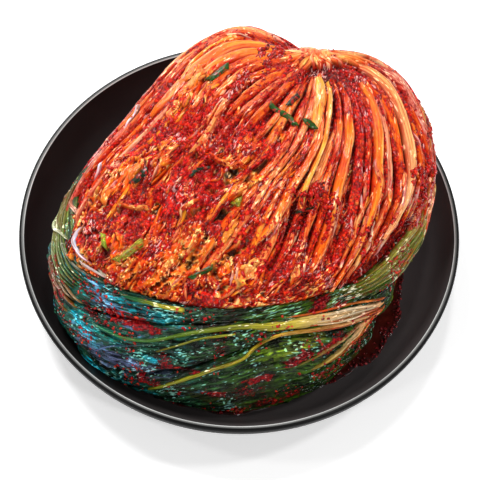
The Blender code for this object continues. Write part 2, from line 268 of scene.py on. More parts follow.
# lookup of the fan's (a, s, distance) over the disc
_g = 181
_a, _s = np.meshgrid(np.linspace(-0.04, 1.04, 260), np.linspace(0, 1.02, 120), indexing="ij")
_f = fan(_a, _s).reshape(-1, 2)
_tree = KDTree(len(_f))
for _i, _p in enumerate(_f):
    _tree.insert((_p[0], _p[1], 0), _i)
_tree.balance()
_tab = np.zeros((_g, _g, 3))
for _i in range(_g):
    for _j in range(_g):
        _, _k, _d = _tree.find(((_i / (_g - 1)) * 2 - 1, (_j / (_g - 1)) * 2 - 1, 0))
        _tab[_i, _j] = (_a.flat[_k], _s.flat[_k], _d)


def fan_of(q):
    k = np.clip((q + 1) / 2 * (_g - 1), 0, _g - 1.001)
    i = k.astype(int)
    t = k - i
    i0, j0, x, y = i[..., 0], i[..., 1], t[..., :1], t[..., 1:]
    r = _tab[i0, j0] * (1 - x) * (1 - y) + _tab[i0 + 1, j0] * x * (1 - y) + _tab[i0, j0 + 1] * (1 - x) * y + _tab[i0 + 1, j0 + 1] * x * y
    return r[..., 0], r[..., 1], r[..., 2]


# =====================================================================================================
# mesh bag
# =====================================================================================================
class Bag:
    """Collects closed tubes and sheets into one mesh. Each point has a colour whose fourth number is how much
    seasoning sticks there (0 to 1), and a grain coordinate in mm: across, along, and a number for the piece."""

    def __init__(self):
        self.v, self.c, self.g, self.k, self.f, self.n = [], [], [], [], [], 0

    def add(self, v, c, faces, g=None, shade=None):
        v = np.asarray(v, float).reshape(-1, 3)
        c = np.broadcast_to(np.asarray(c, float), (len(v), 4)) if np.ndim(c) == 1 else np.asarray(c, float).reshape(-1, 4)
        self.v.append(v)
        self.c.append(c)
        self.g.append(v / MM if g is None else np.asarray(g, float).reshape(-1, 3))
        self.k.append(np.ones(len(v)) if shade is None else np.asarray(shade, float).ravel())
        self.f += [np.asarray(f) + self.n for f in faces]
        self.n += len(v)

    def tube(self, rings, cols, grain=None, shade=None):
        """rings (n, m, 3): n cross-sections of m points, closed round and capped."""
        n, m = rings.shape[:2]
        grain = rings / MM if grain is None else grain
        i, k = np.meshgrid(np.arange(n - 1), np.arange(m), indexing="ij")
        a, b = i * m + k, i * m + (k + 1) % m
        quads = np.stack([a, b, b + m, a + m], -1).reshape(-1, 4)

        def closed(x):
            return np.concatenate([x.reshape(n * m, -1), x[:1].mean(1), x[-1:].mean(1)])

        k = np.arange(m)
        start = np.stack([np.full(m, n * m), (k + 1) % m, k], -1)
        end = np.stack([np.full(m, n * m + 1), (n - 1) * m + k, (n - 1) * m + (k + 1) % m], -1)
        self.add(closed(rings), closed(np.broadcast_to(cols, (n, m, 4))), [quads, start, end], closed(grain), None if shade is None else closed(shade[..., None]))

    def take(self, *bags):
        for bag in bags:
            self.v += bag.v
            self.c += bag.c
            self.g += bag.g
            self.k += bag.k
            self.f += [f + self.n for f in bag.f]
            self.n += bag.n
        return self

    def object(self, name, mat, nodes=(), slot=None, smooth_angle=None):
        v = np.concatenate(self.v).astype(np.float32)
        c, g = np.concatenate(self.c), np.concatenate(self.g)
        me = bpy.data.meshes.new(name)
        me.vertices.add(len(v))
        me.vertices.foreach_set("co", v.ravel())
        sizes = np.concatenate([np.full(len(f), f.shape[1]) for f in self.f])
        loops = np.concatenate([f.ravel() for f in self.f])
        me.loops.add(len(loops))
        me.loops.foreach_set("vertex_index", loops.astype(np.int32))
        me.polygons.add(len(sizes))
        me.polygons.foreach_set("loop_start", np.concatenate([[0], np.cumsum(sizes)[:-1]]).astype(np.int32))
        me.update(calc_edges=True)
        me.validate()
        me.shade_smooth()
        if smooth_angle:
            me.set_sharp_from_angle(angle=math.radians(smooth_angle))
        me.color_attributes.new(name="tint", type="FLOAT_COLOR", domain="POINT").data.foreach_set("color", np.clip(c, 0, 4).astype(np.float32).ravel())
        me.attributes.new("grain", "FLOAT_VECTOR", "POINT").data.foreach_set("vector", g.astype(np.float32).ravel())
        me.attributes.new("shade", "FLOAT", "POINT").data.foreach_set("value", np.clip(np.concatenate(self.k), 0.05, 1.5).astype(np.float32))
        me.materials.append(mat)
        ob = bpy.data.objects.new(name, me)
        bpy.context.collection.objects.link(ob)
        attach(ob, BODY)
        if nodes:
            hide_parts(*nodes)
        print(f"{name}: {int((sizes - 2).sum())} triangles")
        return ob

    def tree(self):
        v = np.concatenate(self.v)
        return BVHTree.FromPolygons([tuple(p) for p in v], [tuple(int(i) for i in row) for f in self.f for row in f])


def full(colour, shape, stain=None):
    """Colour spread over shape, with an optional fourth channel."""
    c = np.broadcast_to(np.asarray(colour, float)[..., :3], tuple(shape) + (3,))
    return c if stain is None else with_stain(c, stain)


def with_stain(c, stain):
    return np.concatenate([c, np.broadcast_to(np.asarray(stain, float), c.shape[:-1])[..., None]], -1)


# =====================================================================================================
# materials
# =====================================================================================================
def node(nt, kind, inputs=None, **props):
    """Add a shader node; inputs are values or sockets by name or number."""
    n = nt.nodes.new(kind)
    for k, val in props.items():
        setattr(n, k, val)
    for k, val in (inputs or {}).items():
        if isinstance(val, bpy.types.NodeSocket):
            nt.links.new(val, n.inputs[k])
        else:
            n.inputs[k].default_value = val
    return n


def leafy(name, fibre=(0.9, 0.07), low=(0.80, 0.45, 0.35), high=(1.12, 1.30, 1.25), contrast=0.16, blot=(0.42, 0.22), soft=0.05, rough=0.40, coat=0.55, coat_rough=0.05, fibre_bump=0.35, paste_bump=1.0, cell=580, dark=srgb(214, 34, 4), spec=0.05, wave=(0.55, 0.22), wave_bump=1.8,
          glint=(1.0, 0.4), glint_at=0.62, glint_leaf=srgb(255, 210, 150), glint_paste=srgb(255, 190, 182), glint_gain=1.2, glint_k=0.85, paste_tint=(1, 1, 1)):
    """Wet leaf: fibres along the grain, and seasoning made of grains that sticks where the stain channel says."""
    m = bpy.data.materials.new(name)
    m.use_nodes = True
    nt = m.node_tree
    bsdf = nt.nodes["Principled BSDF"]
    tint = node(nt, "ShaderNodeAttribute", attribute_name="tint")
    grain = node(nt, "ShaderNodeAttribute", attribute_name="grain")
    coord = node(nt, "ShaderNodeTexCoord").outputs["Object"]
    g1 = node(nt, "ShaderNodeVectorMath", {0: grain.outputs["Vector"], 1: (fibre[0], fibre[1], 1)}, operation="MULTIPLY")
    fib = node(nt, "ShaderNodeTexNoise", {"Vector": g1.outputs[0], "Scale": 1.0, "Detail": 5.0, "Roughness": 0.62})
    lift = node(nt, "ShaderNodeMapRange", {"Value": fib.outputs["Fac"], "From Min": 0.5 - contrast, "From Max": 0.5 + contrast})
    factor = node(nt, "ShaderNodeMix", {4: low, 5: high}, data_type="VECTOR")
    nt.links.new(lift.outputs["Result"], factor.inputs[0])
    leaf = node(nt, "ShaderNodeVectorMath", {0: tint.outputs["Color"], 1: factor.outputs[1]}, operation="MULTIPLY")
    # grains of seasoning
    cells = node(nt, "ShaderNodeTexVoronoi", {"Vector": coord, "Scale": float(cell), "Randomness": 1.0})
    small = node(nt, "ShaderNodeTexVoronoi", {"Vector": coord, "Scale": cell * 1.9, "Randomness": 1.0})
    pick = node(nt, "ShaderNodeSeparateColor", {"Color": cells.outputs["Color"]})
    wide = node(nt, "ShaderNodeTexNoise", {"Vector": coord, "Scale": 70.0, "Detail": 4.0, "Roughness": 0.6})
    wsum = node(nt, "ShaderNodeMath", {0: pick.outputs["Red"], 1: wide.outputs["Fac"]}, operation="ADD")
    ramp = node(nt, "ShaderNodeValToRGB", {"Fac": node(nt, "ShaderNodeMapRange", {"Value": wsum.outputs[0], "From Min": 0.35, "From Max": 1.65}).outputs["Result"]})
    e = ramp.color_ramp.elements
    e[0].position, e[0].color = 0.0, (*srgb(118, 4, 12), 1)
    e[1].position, e[1].color = 1.0, (*srgb(248, 124, 60), 1)
    for pos, c in ((0.25, srgb(176, 12, 18)), (0.50, srgb(214, 24, 18)), (0.74, srgb(232, 40, 18)), (0.94, srgb(240, 64, 24))):
        k = e.new(pos)
        k.color = (*c, 1)
    # painted shade: each grain of seasoning is darker towards its edge, down into the gaps between grains
    grain_gap_shade = node(nt, "ShaderNodeMapRange", {"Value": cells.outputs["Distance"], "From Min": 0.28, "From Max": 0.76, "To Min": 1.18, "To Max": 0.34})
    tinted = node(nt, "ShaderNodeVectorMath", {0: ramp.outputs["Color"], 1: paste_tint}, operation="MULTIPLY")
    paste = node(nt, "ShaderNodeVectorMath", {0: tinted.outputs[0], "Scale": grain_gap_shade.outputs["Result"]}, operation="SCALE")
    # where it sticks
    g2 = node(nt, "ShaderNodeVectorMath", {0: grain.outputs["Vector"], 1: (blot[0], blot[1], 1)}, operation="MULTIPLY")
    bl = node(nt, "ShaderNodeTexNoise", {"Vector": g2.outputs[0], "Scale": 1.0, "Detail": 6.0, "Roughness": 0.68})
    both = node(nt, "ShaderNodeMath", {0: bl.outputs["Fac"], 1: tint.outputs["Alpha"]}, operation="ADD")
    mask = node(nt, "ShaderNodeMapRange", {"Value": both.outputs[0], "From Min": 1.0 - soft, "From Max": 1.0 + soft})
    mask.interpolation_type = "SMOOTHSTEP"
    # thin red juice round the edge of each patch
    juice = node(nt, "ShaderNodeMapRange", {"Value": both.outputs[0], "From Min": 0.76, "From Max": 1.0, "To Max": 0.85})
    wash = node(nt, "ShaderNodeMix", None, data_type="RGBA")
    # Mix inputs by position: 0 factor, 6 and 7 the colours
    nt.links.new(juice.outputs["Result"], wash.inputs[0])
    nt.links.new(leaf.outputs[0], wash.inputs[6])
    wash.inputs[7].default_value = (*dark, 1)
    col = node(nt, "ShaderNodeMix", None, data_type="RGBA")
    nt.links.new(mask.outputs["Result"], col.inputs[0])
    nt.links.new(wash.outputs[2], col.inputs[6])
    nt.links.new(paste.outputs[0], col.inputs[7])
    # painted shade: the shade attribute darkens the colour down in the creases and gaps
    shade = node(nt, "ShaderNodeAttribute", attribute_name="shade")
    shaded = node(nt, "ShaderNodeVectorMath", {0: col.outputs[2], "Scale": shade.outputs["Fac"]}, operation="SCALE")
    # painted highlights: small bright glint specks, in clusters, painted into the base colour
    g4 = node(nt, "ShaderNodeVectorMath", {0: grain.outputs["Vector"], 1: (glint[0], glint[1], 1)}, operation="MULTIPLY")
    spark = node(nt, "ShaderNodeTexNoise", {"Vector": g4.outputs[0], "Scale": 1.0, "Detail": 1.5, "Roughness": 0.5})
    group = node(nt, "ShaderNodeTexNoise", {"Vector": coord, "Scale": 60.0, "Detail": 3.0})
    lit = node(nt, "ShaderNodeMath", {0: group.outputs["Fac"], 1: 0.7, 2: spark.outputs["Fac"]}, operation="MULTIPLY_ADD")
    gm = node(nt, "ShaderNodeMapRange", {"Value": lit.outputs[0], "From Min": glint_at + 0.35, "From Max": glint_at + 0.40, "To Max": glint_k})
    bright = node(nt, "ShaderNodeVectorMath", {0: tint.outputs["Color"], 1: (glint_gain,) * 3, 2: tuple(float(v) for v in glint_leaf)}, operation="MULTIPLY_ADD")
    which = node(nt, "ShaderNodeMix", None, data_type="RGBA")
    nt.links.new(mask.outputs["Result"], which.inputs[0])
    nt.links.new(bright.outputs[0], which.inputs[6])
    which.inputs[7].default_value = (*glint_paste, 1)
    final = node(nt, "ShaderNodeMix", None, data_type="RGBA")
    nt.links.new(gm.outputs["Result"], final.inputs[0])
    nt.links.new(shaded.outputs[0], final.inputs[6])
    nt.links.new(which.outputs[2], final.inputs[7])
    nt.links.new(final.outputs[2], bsdf.inputs["Base Color"])
    # relief
    g3 = node(nt, "ShaderNodeVectorMath", {0: grain.outputs["Vector"], 1: (wave[0], wave[1], 1)}, operation="MULTIPLY")
    waves = node(nt, "ShaderNodeTexNoise", {"Vector": g3.outputs[0], "Scale": 1.0, "Detail": 2.5, "Roughness": 0.55})
    h1 = node(nt, "ShaderNodeMath", {0: fib.outputs["Fac"], 1: fibre_bump}, operation="MULTIPLY")
    dome_ = node(nt, "ShaderNodeMath", {0: 1.0, 1: cells.outputs["Distance"]}, operation="SUBTRACT")
    dome2 = node(nt, "ShaderNodeMath", {0: small.outputs["Distance"], 1: -0.35, 2: dome_.outputs[0]}, operation="MULTIPLY_ADD")
    gate = node(nt, "ShaderNodeMath", {0: mask.outputs["Result"], 1: dome2.outputs[0]}, operation="MULTIPLY")
    h2 = node(nt, "ShaderNodeMath", {0: gate.outputs[0], 1: paste_bump, 2: h1.outputs[0]}, operation="MULTIPLY_ADD")
    h3 = node(nt, "ShaderNodeMath", {0: waves.outputs["Fac"], 1: wave_bump, 2: h2.outputs[0]}, operation="MULTIPLY_ADD")
    bump = node(nt, "ShaderNodeBump", {"Height": h3.outputs[0], "Strength": 1.0, "Distance": 0.0010})
    nt.links.new(bump.outputs["Normal"], bsdf.inputs["Normal"])
    nt.links.new(bump.outputs["Normal"], bsdf.inputs["Coat Normal"])
    bsdf.inputs["Roughness"].default_value = rough
    bsdf.inputs["Coat Weight"].default_value = coat
    bsdf.inputs["Coat Roughness"].default_value = coat_rough
    bsdf.inputs["Specular IOR Level"].default_value = spec
    return m


def wet(name, rough=0.3, coat=0.4, coat_rough=0.06, scale=1200.0, tone=0.25, depth=0.2, spec=0.3, dirt=False):
    """Wet solid bit: the point colour mottled by noise, with a fine relief under the gloss."""
    m = bpy.data.materials.new(name)
    m.use_nodes = True
    nt = m.node_tree
    bsdf = nt.nodes["Principled BSDF"]
    tint = node(nt, "ShaderNodeAttribute", attribute_name="tint")
    coord = node(nt, "ShaderNodeTexCoord").outputs["Object"]
    mott = node(nt, "ShaderNodeTexNoise", {"Vector": coord, "Scale": scale, "Detail": 3.0})
    lift = node(nt, "ShaderNodeMapRange", {"Value": mott.outputs["Fac"], "From Min": 0.3, "From Max": 0.7, "To Min": 1 - tone, "To Max": 1 + tone})
    col = node(nt, "ShaderNodeVectorMath", {0: tint.outputs["Color"], "Scale": lift.outputs["Result"]}, operation="SCALE")
    out = col.outputs[0]
    if dirt:
        # seasoning stuck to it in spots
        spots = node(nt, "ShaderNodeTexNoise", {"Vector": coord, "Scale": 420.0, "Detail": 4.0, "Roughness": 0.65})
        where = node(nt, "ShaderNodeMapRange", {"Value": spots.outputs["Fac"], "From Min": 0.565, "From Max": 0.60})
        over = node(nt, "ShaderNodeMix", None, data_type="RGBA")
        nt.links.new(where.outputs["Result"], over.inputs[0])
        nt.links.new(out, over.inputs[6])
        over.inputs[7].default_value = (*srgb(176, 18, 14), 1)
        out = over.outputs[2]
    nt.links.new(out, bsdf.inputs["Base Color"])
    bump = node(nt, "ShaderNodeBump", {"Height": mott.outputs["Fac"], "Strength": depth, "Distance": 0.0006})
    nt.links.new(bump.outputs["Normal"], bsdf.inputs["Normal"])
    bsdf.inputs["Roughness"].default_value = rough
    bsdf.inputs["Coat Weight"].default_value = coat
    bsdf.inputs["Coat Roughness"].default_value = coat_rough
    bsdf.inputs["Specular IOR Level"].default_value = spec
    return m


SHEET_MAT = leafy("seasoning", fibre=(0.8, 0.16), blot=(0.5, 0.32), fibre_bump=0.4, wave=(0.5, 0.42), wave_bump=2.0, glint=(0.8, 0.7), glint_at=0.632)
RIB_MAT = leafy("rib", fibre=(1.1, 0.05), low=(0.80, 0.38, 0.26), high=(1.16, 1.55, 1.9), contrast=0.13, blot=(0.75, 0.30), soft=0.035, fibre_bump=0.4, wave=(0.45, 0.10), wave_bump=1.3, glint=(1.0, 0.22), glint_at=0.664, glint_leaf=srgb(252, 210, 166))
FRILL_MAT = leafy("frill", fibre=(0.5, 0.15), blot=(0.55, 0.30), soft=0.03, fibre_bump=0.4, wave=(0.55, 0.30), wave_bump=1.8, glint=(0.8, 0.5), glint_at=0.640, glint_leaf=srgb(255, 214, 150))
GREEN_MAT = leafy("green_leaf", fibre=(0.75, 0.060), low=(0.06, 0.12, 0.12), high=(1.7, 1.7, 1.6), contrast=0.11, blot=(0.75, 0.45), soft=0.03, rough=0.42, coat=0.45, coat_rough=0.05, fibre_bump=1.0, dark=srgb(24, 12, 5), spec=0.03, wave=(0.60, 0.17), wave_bump=2.4, cell=640,
                  glint=(0.95, 0.32), glint_at=0.655, glint_leaf=srgb(136, 196, 186), glint_gain=2.5, glint_k=1.0, paste_tint=(0.50, 0.45, 1.3))
STEM_MAT = leafy("green_stem", fibre=(1.5, 0.06), low=(0.48, 0.44, 0.30), high=(1.30, 1.30, 1.30), contrast=0.12, blot=(0.8, 0.40), soft=0.03, dark=srgb(120, 74, 14), cell=640, fibre_bump=0.5, wave=(0.6, 0.16), wave_bump=1.2, glint=(1.2, 0.25), glint_at=0.672, glint_leaf=srgb(250, 244, 220), paste_tint=(0.8, 0.6, 1.2))
FLAKE_MAT = wet("pepper_flake", rough=0.35, coat=0.45, coat_rough=0.08, scale=1500, tone=0.3, spec=0.15)
SCALLION_MAT = wet("scallion", rough=0.4, coat=0.4, coat_rough=0.06, scale=800, tone=0.6, depth=1.0, dirt=True, spec=0.08)

# colours
CRIMSON, RED, BRIGHT = srgb(128, 10, 14), srgb(178, 18, 12), srgb(215, 36, 12)
DEEP = srgb(52, 5, 5)
ORANGE, AMBER, PEACH, PALE = srgb(242, 96, 8), srgb(246, 150, 28), srgb(238, 138, 78), srgb(230, 186, 144)
PINKW = srgb(222, 168, 152)

# =====================================================================================================
# dish
# =====================================================================================================
PROFILE_IN = [(0, 7.2), (40, 7.25), (84, 7.6), (94, 8.4), (102, 10.0), (109, 12.6), (115, 16.0), (119.5, 19.8), (123, 24.0), (125.4, 27.6), (126.35, 29.3)]
LIP = [(126.75, 29.85), (127.1, 30.15), (127.5, 30.3), (128.6, 30.25), (129.4, 29.9), (129.9, 29.2), (130.0, 28.2), (129.75, 26.3)]
PROFILE_OUT = [(129.3, 24.2), (128.0, 21.5), (124.5, 15.6), (118.5, 10.3), (110, 6.4), (98, 4.2), (82, 3.4), (76.5, 3.1), (75.2, 2.2), (74.4, 0.6), (73.7, 0.05), (73, 0.0), (70, 0.0), (68.9, 0.05), (68.3, 0.6), (67.6, 3.0), (40, 3.0), (0, 3.0)]


def smooth_profile(points, per):
    p = np.array(points, float)
    return catmull(p, np.linspace(0, len(p) - 1, (len(p) - 1) * per + 1))


first = smooth_profile(PROFILE_IN, 3)
profile = np.concatenate([first, np.array(LIP), smooth_profile(PROFILE_OUT, 2)])
profile[:, 1] = np.clip(profile[:, 1], 0, 30.3)
glaze = np.zeros((len(profile), 4)) + [*srgb(70, 65, 65), 1]
glaze[len(first) : len(first) + len(LIP), :3] = srgb(12, 11, 11)
# painted highlight: the rings at the inner edge of the lip are painted pale, as a bright line of light round the rim
glaze[len(first) + 1, :3] = srgb(214, 214, 212)
glaze[len(first) + 2, :3] = srgb(120, 120, 118)
glaze[len(first) + len(LIP) :, :3] = srgb(24, 18, 17)
keep = profile[:, 0] > 0.01
profile, glaze = profile[keep], glaze[keep]
turns = 300
ang = np.linspace(0, 2 * np.pi, turns, endpoint=False)
ring = np.stack([profile[:, None, 0] * np.cos(ang), profile[:, None, 0] * np.sin(ang), np.broadcast_to(profile[:, None, 1], (len(profile), turns))], -1) * MM
# this tone makes the painted highlight line at the lip stronger and weaker round the dish
tone = 1 + 0.30 * noise(np.stack([np.cos(ang) * 3, np.sin(ang) * 3], -1), 3)
ring_c = np.broadcast_to(glaze[:, None], ring.shape[:2] + (4,)).copy()
ring_c[..., :3] *= np.where(glaze[:, None, :1] > 0.3, tone[None, :, None], 1)
# painted light and shade: the inside of the black glaze is painted paler, towards charcoal, on one side as if lit
# there, and darker on the other side
painted_glaze_light = 0.24 + 0.76 * step(np.cos(ang - math.radians(-28)), -0.35, 0.75)
ring_c[: len(first), :, :3] *= painted_glaze_light[None, :, None]
dish_bag = Bag()
n, mm = ring.shape[:2]
i, k = np.meshgrid(np.arange(n - 1), np.arange(mm), indexing="ij")
a, b = i * mm + k, i * mm + (k + 1) % mm
quads = np.stack([a, a + mm, b + mm, b], -1).reshape(-1, 4)
v = np.concatenate([ring.reshape(-1, 3), [[0, 0, 7.2 * MM], [0, 0, 3.0 * MM]]])
k = np.arange(mm)
dish_bag.add(v, np.concatenate([ring_c.reshape(-1, 4), glaze[:1], glaze[-1:]]), [quads, np.stack([np.full(mm, n * mm), k, (k + 1) % mm], -1), np.stack([np.full(mm, n * mm + 1), (n - 1) * mm + (k + 1) % mm, (n - 1) * mm + k], -1)])

dish_mat = bpy.data.materials.new("dish_black")
dish_mat.use_nodes = True
nt = dish_mat.node_tree
bsdf = nt.nodes["Principled BSDF"]
coord = node(nt, "ShaderNodeTexCoord").outputs["Object"]
tint = node(nt, "ShaderNodeAttribute", attribute_name="tint")
n1 = node(nt, "ShaderNodeTexNoise", {"Vector": coord, "Scale": 22.0, "Detail": 6.0})
n2 = node(nt, "ShaderNodeTexNoise", {"Vector": coord, "Scale": 1400.0, "Detail": 3.0})
vary = node(nt, "ShaderNodeMapRange", {"Value": n1.outputs["Fac"], "From Min": 0.3, "From Max": 0.7, "To Min": 0.86, "To Max": 1.14})
col = node(nt, "ShaderNodeVectorMath", {0: tint.outputs["Color"], "Scale": vary.outputs["Result"]}, operation="SCALE")
nt.links.new(col.outputs[0], bsdf.inputs["Base Color"])
rr = node(nt, "ShaderNodeMapRange", {"Value": n2.outputs["Fac"], "To Min": 0.34, "To Max": 0.46})
nt.links.new(rr.outputs["Result"], bsdf.inputs["Roughness"])
bp = node(nt, "ShaderNodeBump", {"Height": n2.outputs["Fac"], "Strength": 0.05, "Distance": 0.0003})
nt.links.new(bp.outputs["Normal"], bsdf.inputs["Normal"])
bsdf.inputs["Specular IOR Level"].default_value = 0.14
dish_bag.object("dish_turned", dish_mat, ["dish"], "dish_glaze", smooth_angle=40)

# =====================================================================================================
# ribs of the cut face
# =====================================================================================================
rng = np.random.default_rng(4)
ribs = Bag()
_s = np.linspace(0, 1.1, 23)
_w = skin(fan(np.linspace(0, 1, 60)[None, :], _s[:, None]))
SPREAD = np.linalg.norm(np.diff(_w, axis=1), axis=2).sum(1) / MM


def spread(s):
    """Width of the whole fan in mm at s."""
    return np.interp(s, _s, SPREAD)


def on_cut(q, margin=0.015):
    d = np.degrees(np.arctan2(q[..., 1], q[..., 0])) % 360
    d = np.where(d < 8, d + 360, d)
    rho = np.hypot(q[..., 0], q[..., 1])
    return np.where(d > 188, rho < edge(CUT_EDGE, d) - margin, rho < 0.60)


def strip(bag, path, length_mm, width_mm, out, colour, seed, width_steps=8, floor=-2.5, step_mm=1.5):
    """A long closed strip. path(T, W) gives disc addresses, out(T, W) heights in mm, W -1 to 1 across."""
    n = max(6, int(length_mm / step_mm))
    t = np.linspace(0, 1, n)
    w = np.linspace(-1, 1, width_steps + 1)
    T, W = np.meshgrid(t, w, indexing="ij")
    q = path(T, W)
    top = skin(q, out(T, W) * MM)
    back = [width_steps, width_steps // 2, 0]
    low = skin(q[:, back], np.full((n, 3), floor * MM))
    c = colour(T, W, q, top)
    # painted shade: the underside of the strip is painted dark
    cl = c[:, back] * 0.35
    g = np.stack([W * width_mm / 2 + seed * 31, T * length_mm, np.full_like(T, seed * 3.7)], -1)
    bag.tube(np.concatenate([top, low], 1), np.concatenate([c, cl], 1), np.concatenate([g, g[:, back]], 1))


def rib_colour(base, stain, seed, side=1.0):
    """Red foot on the low side, a painted highlight along the raised edge and painted shade down the low side, stained
    more towards both ends.
    """
    base = mix(np.asarray(base), AMBER, np.array(0.22))

    def colour(T, W, q, p):
        e = W * side
        fib = noise(np.stack([T * 4, W * 3 + seed * 3, np.full_like(T, seed * 1.7)], -1), 2)
        blush = fbm(p * 60, 3, 5 + seed)
        c = mix(full(base, T.shape), BRIGHT, np.clip(0.02 + 0.6 * blush + step(-e, 0.1, 0.95) * 0.68, 0, 0.95))
        c = mix(c, full(AMBER, T.shape), np.clip(0.15 + 0.45 * fib, 0, 0.8) * step(e, -0.7, 0.4) * 0.8)
        # painted highlight: a pale line along the raised edge
        c = mix(c, full(mix(base, srgb(252, 206, 130), np.array(0.7)), T.shape), step(e, 0.62, 0.92) * 0.75)
        # painted shade: darker down the low side
        c = c * (1 - 0.38 * step(-e, 0.45, 1.0))[..., None]
        st = stain + 0.22 * (1 - step(T, 0, 0.22)) + 0.16 * step(T, 0.7, 1.0) + 0.30 * fbm(p * 45, 3, 9) + 0.10 * step(-e, 0.3, 1.0)
        return with_stain(c, np.clip(st, 0, 1))

    return colour


def fan_rib(a, width, s0, s1, lift, tilt, base, stain, side=1.0, wander=0.003, arch=0.6):
    """One rib of the fan. a at its foot, middle and tip; width in mm."""
    seed = len(ribs.v) + 1
    s = np.linspace(s0, s1, 40)
    aa = np.interp(s, np.linspace(s0, s1, 3), a)
    q = fan(aa, s)
    inside = on_cut(q, -0.02)
    if not inside.all():
        s1 = s[max(4, int(np.argmin(inside)))]
        s = np.linspace(s0, s1, 40)
    p = skin(fan(aa, s))
    length = np.linalg.norm(np.diff(p, axis=0), axis=1).sum() / MM
    ph = rng.uniform(0, 6.28, 4)

    def path(T, W):
        S = s0 + (s1 - s0) * T
        A = a[0] * (1 - T) * (1 - 2 * T) + a[1] * 4 * T * (1 - T) + a[2] * T * (2 * T - 1)
        wob = wander * (np.sin(T * 5 + ph[0]) + 0.5 * np.sin(T * 11 + ph[1]))
        taper = 0.40 + 0.60 * step(np.minimum(T / 0.22, (1 - T) / 0.20), 0, 1)
        ragged = 0.16 * noise(np.stack([T * length / 7, np.sign(W) * 3.0 + seed, np.zeros_like(T)], -1), 1)
        return fan(A + wob + W * width / spread(S) / 2 * taper * (1 + ragged * np.abs(W)), S)

    def out(T, W):
        e = W * side
        h = lift + tilt * np.clip(e * 0.5 + 0.5, 0, 1) ** 1.3 + arch * (1 - W**2) - 0.7 * step(np.abs(W), 0.80, 1.0)
        wave = 0.60 * noise(np.stack([T * length / 20, W * 0.6, np.full_like(T, seed)], -1), 4) + 0.28 * noise(np.stack([T * length / 6, W * 1.5, np.full_like(T, seed + 9)], -1), 7)
        groove = 0.25 * noise(np.stack([T * 4, W * width * 0.9, np.full_like(T, seed + 5)], -1), 8)
        end = -3.4 * (1 - step(np.minimum(T / 0.10, (1 - T) / 0.10), 0, 1))
        return h + wave + groove + end

    strip(ribs, path, length, width, out, rib_colour(base, stain, seed, side), seed, width_steps=max(6, int(width * 1.4)))


YELLOW = srgb(240, 176, 66)
# foot, middle and tip on the fan; width; from; to; lift; tilt; colour; stain
RIGHT = [
    ((0.440, 0.425, 0.41), 4.5, 0.10, 0.60, 0.3, 1.6, ORANGE, 0.45), ((0.470, 0.455, 0.44), 4.6, 0.08, 0.86, 0.2, 1.8, AMBER, 0.45),
    ((0.500, 0.490, 0.475), 4.8, 0.14, 1.00, 0.4, 1.8, ORANGE, 0.40), ((0.530, 0.520, 0.500), 5.0, 0.10, 0.90, 0.5, 2.2, PEACH, 0.36),
    ((0.540, 0.550, 0.565), 7.4, 0.08, 0.31, 1.6, 1.2, YELLOW, 0.16), ((0.585, 0.580, 0.555), 5.6, 0.22, 0.78, 0.9, 2.6, ORANGE, 0.24),
    ((0.612, 0.610, 0.615), 3.6, 0.10, 0.66, 1.3, 2.8, YELLOW, 0.14), ((0.636, 0.634, 0.630), 6.4, 0.26, 0.56, 0.4, 0.8, PEACH, 0.08),
    ((0.655, 0.650, 0.645), 4.4, 0.08, 0.95, 0.8, 2.2, ORANGE, 0.42), ((0.580, 0.590, 0.600), 4.6, 0.60, 1.05, 0.2, 1.8, PEACH, 0.45),
    ((0.700, 0.695, 0.690), 6.6, 0.10, 0.90, 0.9, 2.6, ORANGE, 0.33), ((0.670, 0.672, 0.668), 3.6, 0.20, 1.05, -0.2, 1.6, BRIGHT, 0.50),
    ((0.740, 0.745, 0.750), 6.2, 0.09, 1.05, 0.1, 1.8, srgb(226, 92, 46), 0.60), ((0.775, 0.770, 0.765), 4.4, 0.12, 1.08, 0.3, 1.8, srgb(222, 74, 30), 0.52),
    ((0.822, 0.803, 0.790), 5.8, 0.10, 1.08, 1.2, 2.8, srgb(242, 118, 28), 0.20), ((0.855, 0.842, 0.830), 5.2, 0.18, 0.62, 0.3, 1.4, srgb(226, 140, 110), 0.18),
    ((0.842, 0.830, 0.815), 5.2, 0.52, 1.10, 0.6, 2.0, srgb(230, 140, 90), 0.34), ((0.885, 0.868, 0.850), 4.4, 0.07, 1.10, 0.5, 2.2, ORANGE, 0.44),
    ((0.935, 0.905, 0.870), 7.4, 0.03, 0.97, 1.8, 1.8, srgb(234, 160, 104), 0.10), ((0.965, 0.950, 0.930), 4.4, 0.05, 1.00, -0.6, 1.6, RED, 0.66),
    ((1.010, 1.005, 0.985), 5.6, 0.03, 0.92, 0.3, 1.6, PINKW, 0.44), ((1.055, 1.060, 1.040), 5.6, 0.04, 0.85, 0.1, 1.5, srgb(226, 180, 160), 0.46),
]
